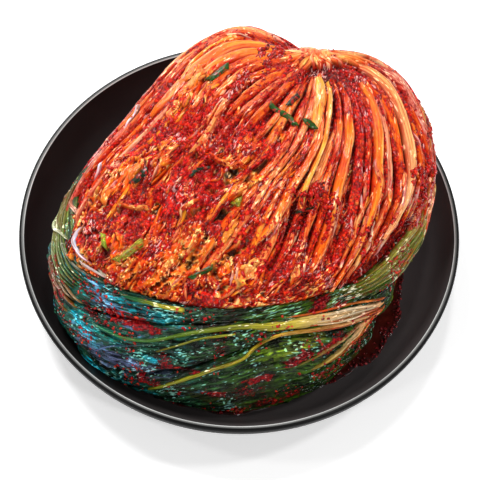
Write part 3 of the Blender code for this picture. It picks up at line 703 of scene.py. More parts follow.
LEFT = [
    ((0.020, 0.005, 0.000), 4.0, 0.10, 0.74, 1.0, 1.2, srgb(236, 160, 100), 0.34), ((0.045, 0.030, 0.030), 4.2, 0.05, 0.95, 0.2, 1.2, ORANGE, 0.44),
    ((0.065, 0.056, 0.058), 3.8, 0.25, 0.96, 1.0, 1.6, srgb(222, 110, 70), 0.42), ((0.030, 0.040, 0.044), 3.6, 0.70, 1.02, 0.9, 1.4, srgb(206, 140, 130), 0.42),
    ((0.090, 0.085, 0.085), 4.0, 0.08, 1.00, 0.1, 1.2, ORANGE, 0.50), ((0.125, 0.110, 0.090), 7.0, 0.08, 0.70, 0.9, 1.8, srgb(246, 104, 18), 0.14),
    ((0.160, 0.145, 0.125), 6.4, 0.05, 0.64, 0.5, 1.4, srgb(240, 112, 26), 0.24), ((0.115, 0.125, 0.120), 3.4, 0.55, 1.00, 1.0, 1.8, srgb(236, 164, 132), 0.26),
    ((0.150, 0.160, 0.155), 3.4, 0.48, 0.98, 0.7, 1.6, AMBER, 0.36), ((0.195, 0.185, 0.180), 6.0, 0.04, 0.62, 0.3, 1.5, ORANGE, 0.36),
    ((0.235, 0.225, 0.220), 5.4, 0.04, 0.52, 0.5, 1.5, srgb(238, 96, 26), 0.40), ((0.272, 0.270, 0.298), 4.6, 0.26, 0.56, 1.8, 1.6, PEACH, 0.10),
    ((0.275, 0.265, 0.255), 5.2, 0.04, 0.44, 0.2, 1.4, ORANGE, 0.50), ((0.315, 0.310, 0.305), 5.0, 0.03, 0.42, 0.6, 1.6, ORANGE, 0.42),
    ((0.355, 0.345, 0.340), 5.2, 0.04, 0.40, 0.4, 1.4, PEACH, 0.42), ((0.400, 0.390, 0.380), 5.0, 0.05, 0.42, 0.5, 1.6, ORANGE, 0.48),
    ((-0.03, -0.035, -0.04), 5.0, 0.06, 0.90, 0.2, 1.4, srgb(226, 172, 150), 0.36), ((-0.07, -0.075, -0.08), 5.2, 0.08, 0.80, 0.0, 1.4, srgb(220, 130, 90), 0.46),
]
for spec in RIGHT:
    fan_rib(*spec)
for spec in LEFT:
    fan_rib(*spec, side=-1.0)
# lesser ribs, sunk between the others
for _ in range(34):
    a0 = rng.uniform(0.42, 0.98)
    s0 = rng.uniform(0.05, 0.55)
    fan_rib((a0, a0 + rng.uniform(-0.012, 0.012), a0 - rng.uniform(-0.01, 0.02)), rng.uniform(2.2, 4.0), s0, s0 + rng.uniform(0.25, 0.5), rng.uniform(-0.7, 0.9), rng.uniform(1.0, 2.4), [ORANGE, AMBER, PEACH, BRIGHT][rng.integers(4)], rng.uniform(0.25, 0.6))
for _ in range(30):
    a0 = rng.uniform(0.0, 0.42)
    s0 = rng.uniform(0.05, 0.7)
    fan_rib((a0, a0 + rng.uniform(-0.012, 0.012), a0 - rng.uniform(-0.02, 0.02)), rng.uniform(2.0, 3.6), s0, s0 + rng.uniform(0.16, 0.36), rng.uniform(-0.5, 1.0), rng.uniform(0.8, 2.0), [ORANGE, AMBER, PEACH, ORANGE][rng.integers(4)], rng.uniform(0.25, 0.55), side=-1.0)

# =====================================================================================================
# ribbons: free strips through disc points, for stems, curls and midribs
# =====================================================================================================
def heights(tree, q):
    """How far (mm) the pieces in the tree stand out from the skin at disc points q (n, 2)."""
    p, nn = dome(q[:, 0], q[:, 1]), normal(q[:, 0], q[:, 1])
    out = np.zeros(len(q))
    for i in range(len(q)):
        hit = tree.ray_cast(Vector(p[i] + nn[i] * 12 * MM), Vector(-nn[i]), 15 * MM)
        out[i] = 12 - hit[3] / MM if hit[0] is not None else -2.0
    return out


def ribbon(bag, points, widths, height, colour, stain, seed, base_lift=0.0, flat=0.55, sink=-1.6, step_mm=1.0, steps=8, wob=0.25, ends=(0.10, 0.10), groove=0.2, on=None):
    """A half-round strip through disc points, widths in mm at its ends and middle, lying on what the tree holds."""
    pts = np.array(points, float)
    fine = catmull(pts, np.linspace(0, len(pts) - 1, 80))
    p = skin(fine)
    arc = np.concatenate([[0], np.cumsum(np.linalg.norm(np.diff(p, axis=0), axis=1))])
    length = arc[-1] / MM
    n = max(8, int(length / step_mm))
    t = np.linspace(0, 1, n)
    q = np.stack([np.interp(t, arc / arc[-1], fine[:, j]) for j in (0, 1)], -1)
    base = skin(q)
    up_ = normal(q[:, 0], q[:, 1])
    run = np.gradient(base, axis=0)
    run /= np.linalg.norm(run, axis=1, keepdims=True)
    side = np.cross(up_, run)
    w = np.interp(t, np.linspace(0, 1, len(widths)), widths) * (1 + 0.12 * noise(np.stack([t * length / 9, np.full(n, seed)], -1), 3))
    e = step(np.minimum(t / ends[0], (1 - t) / ends[1]), 0, 1)
    W = np.linspace(-1, 1, steps + 1)
    TT, WW = np.meshgrid(t, W, indexing="ij")
    h = base_lift + height * np.clip(1 - WW**2, 0, 1) ** flat + groove * noise(np.stack([TT * length / 25, WW * w[:, None] * 0.6, np.full_like(TT, seed)], -1), 8) + wob * noise(np.stack([TT * length / 8, WW * 0.5, np.full_like(TT, seed + 4)], -1), 9)
    h = sink + (h - sink) * e[:, None] - (WW * w[:, None] / 2) ** 2 / 150
    if on is not None:
        under = heights(on, q)
        k = 5
        under = np.max([np.pad(under, k, mode="edge")[j : j + n] for j in range(k, k + 1)] + [np.convolve(np.pad(under, k, mode="edge"), np.ones(2 * k + 1) / (2 * k + 1), mode="valid")], 0)
        under = np.convolve(np.pad(under, 2, mode="edge"), np.ones(5) / 5, mode="valid")
        h = h + under[:, None]
        sink = sink + under
    top = base[:, None] + side[:, None] * (WW * w[:, None] / 2 * (0.3 + 0.7 * e[:, None]))[..., None] * MM + up_[:, None] * h[..., None] * MM
    low = base[:, None] + side[:, None] * (np.array([1, 0, -1.0])[None, :, None] * w[:, None, None] / 2 * 0.8 * MM) + up_[:, None] * (np.broadcast_to(sink, (n,))[:, None, None] - 0.6) * MM
    c = colour(TT, WW, None, top)
    c = c if c.shape[-1] == 4 else with_stain(c, np.clip(stain + 0.28 * fbm(top * 60, 3, 13 + seed), 0, 1))
    back = [steps, steps // 2, 0]
    g = np.stack([WW * w[:, None] / 2 + seed * 29, TT * length, np.full_like(TT, seed * 2.3)], -1)
    # painted shade: the underside of the ribbon is painted dark
    bag.tube(rest_on_dish(np.concatenate([top, low], 1), 0.0004), np.concatenate([c, c[:, back] * 0.4], 1), np.concatenate([g, g[:, back]], 1))


def fade(*stops):
    """Colour along a ribbon from (position, colour) stops, darkened towards both edges as painted shade."""
    pos = [s[0] for s in stops]
    col = np.array([s[1] for s in stops])

    def colour(T, W, q, p):
        c = np.stack([np.interp(T, pos, col[:, k]) for k in range(3)], -1)
        # painted shade: darker towards both edges of the ribbon
        return mix(c, c * 0.55, step(np.abs(W), 0.55, 1.0) * 0.7)

    return colour


# =====================================================================================================
# crumpled leaf in the middle of the cut: a folded sheet, curled edges lying on it, and ruffled blades
# =====================================================================================================
frills, flaps, folds = Bag(), Bag(), Bag()


def reach(q, heading):
    return np.linalg.norm(dome(q[0] + 0.01 * math.cos(heading), q[1] + 0.01 * math.sin(heading)) - dome(*q)) / 0.01


def heading_at(a, s):
    d = np.diff(fan(np.array([a, a]), np.array([s - 0.02, s + 0.02])), axis=0)[0]
    return math.atan2(d[1], d[0])


def crumple_zone(a, s):
    """How crumpled the leaf is: the tips in the middle of the fan."""
    inner = step(s, 0.24 + 0.28 * np.abs(a - 0.36), 0.42 + 0.22 * np.abs(a - 0.36))
    right = 1 - step(a, 0.50, 0.64) * (1 - step(s, 0.62, 0.90))
    far = 1 - step(a, 0.72, 0.84)
    return inner * right * far * step(a, 0.03, 0.14)


# where the seasoning is thick: disc address, radius, extra thickness
HEAPS = [(0.09, 0.36, 0.05, 0.7), (0.04, 0.31, 0.05, 0.9), (0.11, 0.25, 0.04, 0.7), (0.25, 0.24, 0.05, 1.1), (0.32, 0.20, 0.04, 0.8), (0.28, 0.30, 0.04, 0.7), (-0.08, 0.14, 0.07, 1.0), (-0.17, 0.14, 0.06, 0.9), (-0.02, 0.20, 0.05, 0.9),
         (-0.28, 0.11, 0.07, 0.8), (-0.34, 0.04, 0.06, 0.7), (-0.14, 0.06, 0.05, 0.9), (-0.13, -0.08, 0.05, 0.7), (-0.04, -0.15, 0.05, 0.9), (0.15, -0.07, 0.05, 1.4), (0.20, -0.05, 0.04, 1.2), (0.11, -0.15, 0.05, 0.8),
         (0.02, -0.10, 0.04, 0.9), (0.22, 0.05, 0.03, 0.9), (0.11, 0.08, 0.03, 0.8), (0.39, 0.06, 0.03, 0.6), (0.46, 0.14, 0.05, 1.0), (0.50, 0.02, 0.06, 1.0), (-0.27, -0.10, 0.06, 0.7), (-0.18, -0.15, 0.05, 0.6), (0.22, -0.15, 0.05, 0.7),
         (-0.05, -0.25, 0.05, 0.5), (0.11, -0.23, 0.05, 0.7), (0.55, 0.24, 0.08, 1.0), (0.60, 0.08, 0.08, 1.0), (0.60, -0.06, 0.07, 0.9), (-0.44, 0.22, 0.06, 0.5), (0.30, -0.18, 0.05, 0.8), (0.38, -0.13, 0.05, 0.6), (-0.07, -0.02, 0.04, 0.8),
         (-0.21, -0.06, 0.04, 0.6), (-0.02, 0.07, 0.05, 0.7), (0.05, 0.02, 0.03, 0.6), (0.03, -0.20, 0.04, 0.6)]
# where it is scraped thin and the leaf shows clean
BARE = [(-0.04, 0.32, 0.05, 1.2), (-0.10, 0.26, 0.06, 1.4), (-0.16, 0.30, 0.05, 1.0), (0.13, 0.12, 0.03, 1.4), (0.17, 0.04, 0.06, 1.8), (0.21, 0.13, 0.04, 1.4), (0.30, 0.08, 0.06, 1.6), (0.33, -0.02, 0.07, 1.3), (0.33, 0.27, 0.05, 1.6), (0.40, 0.14, 0.05, 1.4),
        (0.42, 0.00, 0.05, 1.4), (0.19, 0.38, 0.06, 1.6), (0.14, 0.14, 0.03, 1.0), (-0.02, 0.46, 0.06, 1.0), (-0.30, 0.30, 0.06, 1.0), (-0.45, 0.08, 0.06, 0.9), (-0.15, -0.22, 0.05, 1.2), (-0.09, -0.17, 0.03, 1.0), (-0.19, 0.0, 0.03, 0.9),
        (-0.05, -0.25, 0.03, 0.8), (-0.30, -0.02, 0.05, 0.7), (-0.25, -0.20, 0.05, 0.7), (0.04, -0.03, 0.02, 0.6), (-0.01, 0.00, 0.03, 0.8)]
# hollows in the crumpled leaf: disc address and radius; they are sunk and painted dark as shade
HOLES = [(0.030, -0.004, 0.016), (0.036, 0.002, 0.012), (-0.171, -0.090, 0.014), (-0.18, -0.094, 0.010), (-0.039, -0.099, 0.014), (-0.056, -0.103, 0.012), (-0.020, -0.179, 0.012), (0.050, -0.107, 0.008), (0.35, 0.205, 0.016), (0.335, 0.165, 0.014), (0.06, 0.085, 0.010),
         (0.115, 0.085, 0.010), (0.245, 0.10, 0.008), (-0.016, -0.011, 0.008)]


GOLD = srgb(252, 192, 96)
# turned edges: disc points, widths and height in mm, body and rim colours
EDGES = [
    ([(-0.110, 0.036), (-0.097, 0.030), (-0.069, 0.015), (-0.045, 0.002), (-0.019, -0.004), (-0.002, -0.004), (0.022, -0.016)], (1.4, 3.0, 3.6, 2.2), 2.2, ORANGE, GOLD),
    ([(-0.290, -0.076), (-0.278, -0.083), (-0.241, -0.090), (-0.218, -0.093), (-0.191, -0.091), (-0.174, -0.084), (-0.161, -0.074)], (1.2, 2.4, 2.8, 1.6), 2.0, AMBER, GOLD),
    ([(-0.049, -0.004), (-0.036, -0.013), (-0.038, -0.024), (-0.051, -0.032), (-0.065, -0.037)], (1.0, 1.8, 1.2), 1.6, ORANGE, GOLD),
    ([(-0.100, 0.018), (-0.103, 0.051), (-0.097, 0.081), (-0.073, 0.108), (-0.058, 0.123), (-0.057, 0.148)], (1.0, 2.0, 1.8, 1.0), 1.6, PEACH, srgb(240, 190, 150)),
    ([(-0.244, -0.274), (-0.211, -0.263), (-0.186, -0.248), (-0.170, -0.223), (-0.161, -0.195)], (1.2, 2.6, 1.6), 1.6, ORANGE, AMBER),
    ([(-0.124, -0.215), (-0.115, -0.201), (-0.101, -0.176), (-0.090, -0.158), (-0.082, -0.138)], (2.4, 2.0, 0.9), 1.6, AMBER, srgb(250, 214, 140)),
    ([(-0.175, -0.245), (-0.168, -0.236), (-0.153, -0.214), (-0.137, -0.200), (-0.120, -0.186)], (2.0, 4.5, 3.0), 1.8, AMBER, GOLD),
    ([(-0.090, -0.215), (-0.085, -0.207), (-0.076, -0.188), (-0.064, -0.160)], (1.0, 2.0, 1.0), 1.4, ORANGE, AMBER),
    ([(-0.045, -0.185), (-0.034, -0.183), (-0.022, -0.174), (-0.010, -0.167), (-0.003, -0.152), (-0.002, -0.126)], (1.2, 2.4, 1.4), 1.8, ORANGE, GOLD),
    ([(-0.070, -0.232), (-0.065, -0.243), (-0.059, -0.258), (-0.051, -0.267), (-0.042, -0.250)], (1.6, 3.6, 2.4), 1.6, AMBER, GOLD),
    ([(-0.210, -0.028), (-0.200, -0.018), (-0.192, -0.007), (-0.176, 0.005), (-0.158, 0.016)], (1.4, 3.2, 2.0), 1.6, ORANGE, AMBER),
    ([(-0.120, -0.100), (-0.103, -0.086), (-0.089, -0.076), (-0.072, -0.066)], (1.0, 2.4, 1.2), 1.6, ORANGE, GOLD),
    ([(-0.030, -0.072), (-0.024, -0.067), (-0.012, -0.057), (-0.000, -0.048), (0.012, -0.040)], (1.2, 2.8, 1.4), 1.7, AMBER, GOLD),
    ([(0.034, -0.288), (0.037, -0.280), (0.043, -0.264), (0.046, -0.245), (0.053, -0.220)], (1.2, 2.0, 1.0), 1.4, ORANGE, AMBER),
    ([(0.076, -0.158), (0.081, -0.148), (0.091, -0.128), (0.101, -0.108), (0.106, -0.086)], (1.0, 2.6, 1.2), 1.8, PEACH, srgb(244, 190, 130)),
    ([(0.054, -0.224), (0.058, -0.213), (0.069, -0.187), (0.084, -0.160)], (1.0, 1.8, 1.0), 1.5, ORANGE, AMBER),
]
# the drop behind each turned edge, also painted dark as its shadow
GAPS = []
for _pts, _w, _h, _b, _c in EDGES:
    _e = catmull(np.array(_pts), np.linspace(0.4, len(_pts) - 1.4, 7))
    _d = np.gradient(_e, axis=0)
    _n = np.stack([_d[:, 1], -_d[:, 0]], -1) / np.linalg.norm(_d, axis=1, keepdims=True)
    _n *= np.where(_n @ np.array([0.5, -1.0]) < 0, -1, 1)[:, None]
    GAPS += [(*(_e[_k] + 0.0150 * _n[_k]), 0.0085) for _k in range(7)]


def blobs(q, table):
    total = np.zeros(q.shape[:-1])
    for u, v, r, k in table:
        total += k * np.exp(-(((q[..., 0] - u) ** 2 + (q[..., 1] - v) ** 2) / (r * r)))
    return total


def hollow(q):
    deep = np.zeros(q.shape[:-1])
    for u, v, r in HOLES:
        deep = np.maximum(deep, np.exp(-(((q[..., 0] - u) ** 2 + (q[..., 1] - v) ** 2) / (1.3 * r * r)) ** 1.3))
    for u, v, r in GAPS:
        deep = np.maximum(deep, 0.62 * np.exp(-(((q[..., 0] - u) ** 2 + (q[..., 1] - v) ** 2) / (r * r)) ** 1.3))
    return deep


# the folded sheet
NA, NS = 250, 212
SS, AA = np.meshgrid(np.linspace(0.20, 1.08, NS), np.linspace(-0.01, 0.88, NA), indexing="ij")
X_, Y_ = (AA - 0.5) * spread(SS), SS * 120
wx = 3.2 * noise(np.stack([X_ / 13, Y_ / 20, np.full_like(X_, 3.0)], -1), 41) + 1.1 * noise(np.stack([X_ / 4.5, Y_ / 7, np.full_like(X_, 3.0)], -1), 42)
wy = 4.0 * noise(np.stack([X_ / 12, Y_ / 18, np.full_like(X_, 6.0)], -1), 43)
big = ridged(np.stack([(X_ + wx) / 7.2, (Y_ + wy) / 18, np.full_like(X_, 1.0)], -1), 2, 44)
mid_ = ridged(np.stack([(X_ + wx) / 3.6, (Y_ + wy) / 9, np.full_like(X_, 2.0)], -1), 2, 45)
tiny = ridged(np.stack([(X_ + wx) / 1.8, (Y_ + wy) / 3.8, np.full_like(X_, 5.0)], -1), 2, 46)
sharp = step(big, -0.2, 1.0) * 1.6 - 0.5


def layers(x, y, long, across, count, seed):
    """Overlapping leaves: each rises to a curled edge and drops behind it. Returns 0 at the foot to 1 at the edge."""
    f = noise(np.stack([x / across, y / long, np.full_like(x, seed)], -1), 55) + 0.26 * noise(np.stack([x / (across * 0.36), y / (long * 0.28), np.full_like(x, seed)], -1), 56) + 0.05 * noise(np.stack([x / (across * 0.15), y / (long * 0.09), np.full_like(x, seed)], -1), 57)
    k = f * count + 40.3
    return k - np.floor(k)


lay = layers(X_ + 0.5 * wx, Y_, 27.0, 14.0, 2.9, 4.0)
lay2 = layers(X_ + 0.4 * wx, Y_, 15.0, 8.0, 1.5, 9.0)
height = 1.1 * sharp + 3.0 * lay**1.7 + 1.2 * lay2**1.5 - 1.1 + 0.6 * mid_ + 0.4 * tiny
rim_ = step(lay, 0.86, 0.95)
rim2 = step(lay2, 0.86, 0.95)
inside_zone = crumple_zone(AA, SS)
qq = fan(AA, SS)
heap = blobs(qq, HEAPS)
bare = blobs(qq, BARE)
height = height * (1 - 0.45 * np.clip(heap, 0, 1)) + 0.5 * np.clip(bare, 0, 1)
height = height + 0.5 + 0.3 * np.clip(heap, 0, 1)
height = height * inside_zone - 3.2 * (1 - inside_zone)
outside = 1 - on_cut(qq, 0.0).astype(float)
for _ in range(3):
    outside[1:-1, 1:-1] = (outside[1:-1, 1:-1] + outside[:-2, 1:-1] + outside[2:, 1:-1] + outside[1:-1, :-2] + outside[1:-1, 2:]) / 5
height = height - 4.0 * step(outside, 0.3, 1.0)
hole_ = hollow(qq)
height = height - 5.0 * hole_
lean = 1.5 * noise(np.stack([X_ / 10, Y_ / 16, np.full_like(X_, 8.0)], -1), 47) + 0.5
ad = np.clip(height, -1, 3.5) * lean * 0.42 / spread(SS)
sheet_q = fan(AA + ad, SS + np.clip(height, -1, 3.5) * 0.5 * noise(np.stack([X_ / 8, Y_ / 9, np.full_like(X_, 9.0)], -1), 48) / 120)
fold_p = skin(sheet_q, np.clip(height, -4.2, 4.3) * MM)
crest = step(0.55 * sharp + 0.5 * mid_ + 0.18 * tiny, -0.30, 0.85)
mot = fbm(fold_p * 90, 3, 49)
fc = mix(full(srgb(178, 16, 6), AA.shape), full(srgb(238, 88, 12), AA.shape), step(crest + 0.6 * mot, 0.30, 0.75))
fc = mix(fc, full(srgb(248, 152, 44), AA.shape), step(crest + 0.7 * mot, 0.88, 1.25) * 0.9)
thin_ = np.clip(np.maximum(rim_, 0.9 * rim2) * (0.95 + 1.2 * mot), 0, 1)
fc = mix(fc, mix(full(AMBER, AA.shape), full(srgb(255, 212, 128), AA.shape), step(mot, -0.2, 0.3)), thin_)
ft = 0.695 - 0.20 * crest + 0.46 * np.clip(heap - bare, -0.45, 1.0) + 0.56 * fbm(fold_p * 62, 2, 50) + 0.24 * fbm(fold_p * 190, 3, 53) + 0.45 * (1 - inside_zone) - 0.30 * thin_
# painted shade: darker at the foot of each layer behind its turned edge and down between the ridges, less so under
# thick seasoning, with a random tone over it
foot = np.minimum(step(lay, 0.0, 0.30), 0.35 + 0.65 * step(lay2, 0.0, 0.28))
fold_shade = (0.08 + 1.10 * foot) * (0.42 + 0.80 * step(0.5 * sharp + 0.45 * mid_ + 0.3 * tiny, -0.35, 0.5)) * (0.62 + 0.48 * step(fbm(fold_p * 85, 3, 79), -0.30, 0.35))
fold_shade = mix(np.ones_like(fold_shade)[..., None], fold_shade[..., None], np.clip(1 - 0.35 * heap, 0.5, 1))[..., 0]
# painted shade: the hollows and the drops behind the turned edges are painted near black, with the seasoning taken off
# them
fc = with_stain(fc * (1 - 0.92 * step(hole_, 0.15, 0.7))[..., None], np.clip(ft, 0, 1) * (1 - step(hole_, 0.3, 0.8)))
under_p = skin(qq[:, ::-6], np.full(qq[:, ::-6].shape[:2], -4.6 * MM))
g = np.stack([X_, Y_, np.zeros_like(X_)], -1)
# painted shade: the underside of the folded sheet is painted dark
folds.tube(np.concatenate([fold_p, under_p], 1), np.concatenate([fc, fc[:, ::-6] * 0.2], 1), np.concatenate([g, g[:, ::-6]], 1), np.concatenate([fold_shade, fold_shade[:, ::-6]], 1))
FOLDS = Bag().take(folds).tree()
HI = [srgb(240, 128, 24), ORANGE, srgb(236, 110, 30), srgb(234, 100, 30), srgb(244, 146, 50)]


def flap(q0, heading, length, width, seed, stain, hi, lift=0.2, puff=1.2):
    """A scrap of leaf lying on the folds, its edges turned up."""
    n, m = max(8, int(length / 0.8)), max(6, int(width / 0.7))
    t, w = np.linspace(-0.5, 0.5, n), np.linspace(-0.5, 0.5, m)
    T, W = np.meshgrid(t, w, indexing="ij")
    bend = 0.30 * noise(np.stack([T * 2.4, np.full_like(T, seed * 1.9)], -1), 3)
    ragged = 1 + 0.45 * noise(np.stack([T * length / 2.6, np.sign(W) * 2.0 + seed, np.zeros_like(T)], -1), 5)
    round_ = np.sqrt(np.clip(1 - np.abs(2 * T) ** 3, 0.03, 1))
    x = T * length
    y = W * width * round_ * ragged + bend * width
    hv, pv = np.array([math.cos(heading), math.sin(heading)]), np.array([-math.sin(heading), math.cos(heading)])
    q = np.array(q0) + x[..., None] * MM / reach(q0, heading) * hv + y[..., None] * MM / reach(q0, heading + math.pi / 2) * pv
    if not on_cut(q, 0.0).all() or hollow(q).max() > 0.5:
        return
    rest = heights(FOLDS, q[:, m // 2])
    rest = np.convolve(np.pad(rest, 3, mode="edge"), np.ones(7) / 7, mode="valid")[:, None]
    fold = ridged(np.stack([y / 2.2 + 0.6 * noise(np.stack([x / 5, np.full_like(x, seed)], -1), 6), x / 7.0, np.full_like(x, seed * 1.1)], -1), 3, 7)
    edge_up = step(np.abs(2 * W), 0.5, 1.0) * (0.5 + 1.4 * noise(np.stack([x / 2.4, np.sign(W) * 4.0, np.full_like(x, seed)], -1), 8))
    out = np.minimum(rest, 3.0) + lift + puff * (0.6 * fold + 0.5 * (1 - (2 * W) ** 2)) + edge_up - 1.8 * step(np.abs(2 * T), 0.7, 1.0)
    out = np.minimum(out, 4.6)
    p = skin(q, out * MM)
    low = skin(q[:, ::-1], (out[:, ::-1] - 0.5) * MM)
    crest = np.clip(0.40 + 0.6 * fold + 0.3 * edge_up, 0, 1)
    c = mix(full(srgb(212, 34, 6), T.shape), full(hi, T.shape), crest)
    c = mix(c, full(srgb(250, 190, 100), T.shape), step(edge_up, 0.6, 1.3) * 0.5)
    st = np.clip(stain + 0.25 * (0.3 - fold) + 0.30 * fbm(p * 80, 3, 15), 0, 1)
    c = with_stain(c, st)
    g = np.stack([y + seed * 17, x, np.full_like(x, seed * 2.9)], -1)
    # painted shade: the underside of the flap is painted dark
    flaps.tube(rest_on_dish(np.concatenate([p, low], 1)), np.concatenate([c, c[:, ::-1] * [0.4, 0.35, 0.35, 1]], 1), np.concatenate([g, g[:, ::-1]], 1))


def frill(q0, heading, length, height, lean, ruffle, wave, lo, hi, seed):
    """A ruffled blade edge from disc point q0 along heading (radians on the disc). Sizes in mm."""
    n = max(8, int(length / 0.9))
    m = 4 if height < 3 else 5
    t = np.linspace(0, 1, n)
    turn = heading + 0.75 * noise(np.stack([t * 2.2, np.full(n, seed * 1.3)], -1), 3)
    du = np.stack([np.cos(turn), np.sin(turn)], -1) * (length * MM / reach(q0, heading) / (n - 1))
    q = np.array(q0) + np.cumsum(du, 0) - du[0] - du.sum(0) / 2
    if not on_cut(q, 0.0).all() or hollow(q).max() > 0.5:
        return
    rest = heights(FOLDS, q)
    rest = np.clip(np.convolve(np.pad(rest, 2, mode="edge"), np.ones(5) / 5, mode="valid"), -1.5, 2.0)
    base = skin(q, (rest - 0.8) * MM)
    nrm = normal(q[:, 0], q[:, 1])
    run = np.gradient(base, axis=0)
    run /= np.linalg.norm(run, axis=1, keepdims=True)
    side = np.cross(nrm, run)
    h = np.linspace(0, 1, m)
    L = t * length
    ends = np.minimum(1, np.minimum(t, 1 - t) / 0.25) ** 0.6
    rise = height * ends * (0.75 + 0.55 * noise(np.stack([L / 5, np.full(n, seed * 2.1)], -1), 5))
    ruf = ruffle * (2.0 * noise(np.stack([L / wave, np.full(n, seed * 0.7)], -1), 6) + 0.9 * noise(np.stack([L / (wave * 0.4), np.full(n, seed * 0.9)], -1), 7))
    c, s = math.cos(lean), math.sin(lean)
    H = h[None, :] * rise[:, None]
    curl = h[None, :] ** 1.4
    sidewise = s * H + 0.25 * H * (0.35 + 0.65 * h[None, :]) * math.copysign(1, lean) + ruf[:, None] * curl * (0.35 + 0.65 * c)
    upward = c * H - ruf[:, None] * curl * 0.8 * s
    mid = base[:, None] + side[:, None] * (sidewise * MM)[..., None] + nrm[:, None] * (upward * MM)[..., None]
    crinkle = noise(mid * 420, 9)[..., None] * 0.30 * MM * h[None, :, None]
    mid = mid + nrm[:, None] * crinkle + side[:, None] * crinkle
    thick = (0.50 - 0.24 * h)[None, :, None] * MM
    perp = side[:, None] * c - nrm[:, None] * s
    rings = np.concatenate([mid + perp * thick, (mid - perp * thick)[:, ::-1]], 1)
    tone = np.clip(h[None, :] * 1.1 - 0.25 + 0.6 * fbm(mid * 200, 3, 12), 0, 1)
    col = mix(full(lo, mid.shape[:2]), full(hi, mid.shape[:2]), tone)
    st = np.clip(0.66 - 0.26 * h[None, :] + 0.45 * fbm(mid * 120, 3, 17), 0, 1)
    col = with_stain(col, st)
    g = np.stack([np.broadcast_to(L[:, None], mid.shape[:2]) + seed * 13, H * 1.0, np.full(mid.shape[:2], seed * 1.9)], -1)
    frills.tube(rest_on_dish(rings), np.concatenate([col, col[:, ::-1]], 1), np.concatenate([g, g[:, ::-1]], 1))


made, tries = 0, 0
while made < 36 and tries < 3000:
    tries += 1
    a, s = rng.uniform(0.05, 0.80), rng.uniform(0.28, 1.0)
    if rng.uniform() > crumple_zone(a, s):
        continue
    q = fan(np.array([a]), np.array([s]))[0]
    if not on_cut(q):
        continue
    clean = made % 2 == 0
    flap(q, heading_at(a, s) + rng.normal(0, 0.25), rng.uniform(10, 22), rng.uniform(3.5, 6.5), made, rng.uniform(0.16, 0.34) if clean else rng.uniform(0.34, 0.62), [srgb(250, 158, 56), srgb(250, 178, 90), srgb(246, 138, 44)][rng.integers(3)] if clean else HI[rng.integers(5)], rng.uniform(0.0, 0.8) if clean else rng.uniform(-0.6, 0.3), rng.uniform(0.9, 1.6))
    made += 1
made, tries = 0, 0
while made < 120 and tries < 9000:
    tries += 1
    a, s = rng.uniform(0.03, 0.84), rng.uniform(0.22, 1.04)
    if rng.uniform() > crumple_zone(a, s):
        continue
    q = fan(np.array([a]), np.array([s]))[0]
    if not on_cut(q):
        continue
    frill(q, heading_at(a, s) + rng.normal(0, 0.40), rng.uniform(6, 18), rng.uniform(1.6, 3.6), rng.uniform(0.5, 1.3) * rng.choice([-1, 1]), rng.uniform(0.3, 0.9), rng.uniform(3.0, 7), mix(RED, BRIGHT, np.array(rng.uniform())), HI[rng.integers(5)], made)
    made += 1

# turned leaf edges that stand out
curls = Bag()
OVER = Bag().take(folds, flaps).tree()
for j, (pts, widths, high, body, rim) in enumerate(EDGES):
    ribbon(curls, pts, tuple(1.05 * w for w in widths), high * 0.9, fade((0, body), (0.3, mix(body, BRIGHT, np.array(0.4))), (0.55, rim), (0.8, body), (1, BRIGHT)), 0.40, 200 + j, base_lift=-0.2, on=OVER, ends=(0.25, 0.25), wob=0.9, groove=0.9, step_mm=0.6)

# =====================================================================================================
# folded green outer leaves
# =====================================================================================================
# the cyan and lilac colours here are painted reflections on the wet green leaves
DARKG, MIDG, TEAL, REFLECTED_CYAN, OLIVE, YELLOWG = srgb(12, 26, 8), srgb(54, 84, 12), srgb(0, 78, 72), srgb(18, 176, 204), srgb(96, 100, 14), srgb(150, 154, 26)
STEMW, BRIGHTG, REFLECTED_LILAC, GREENV, DARKOLIVE = srgb(240, 200, 154), srgb(92, 134, 16), srgb(112, 112, 170), srgb(30, 116, 52), srgb(36, 42, 8)
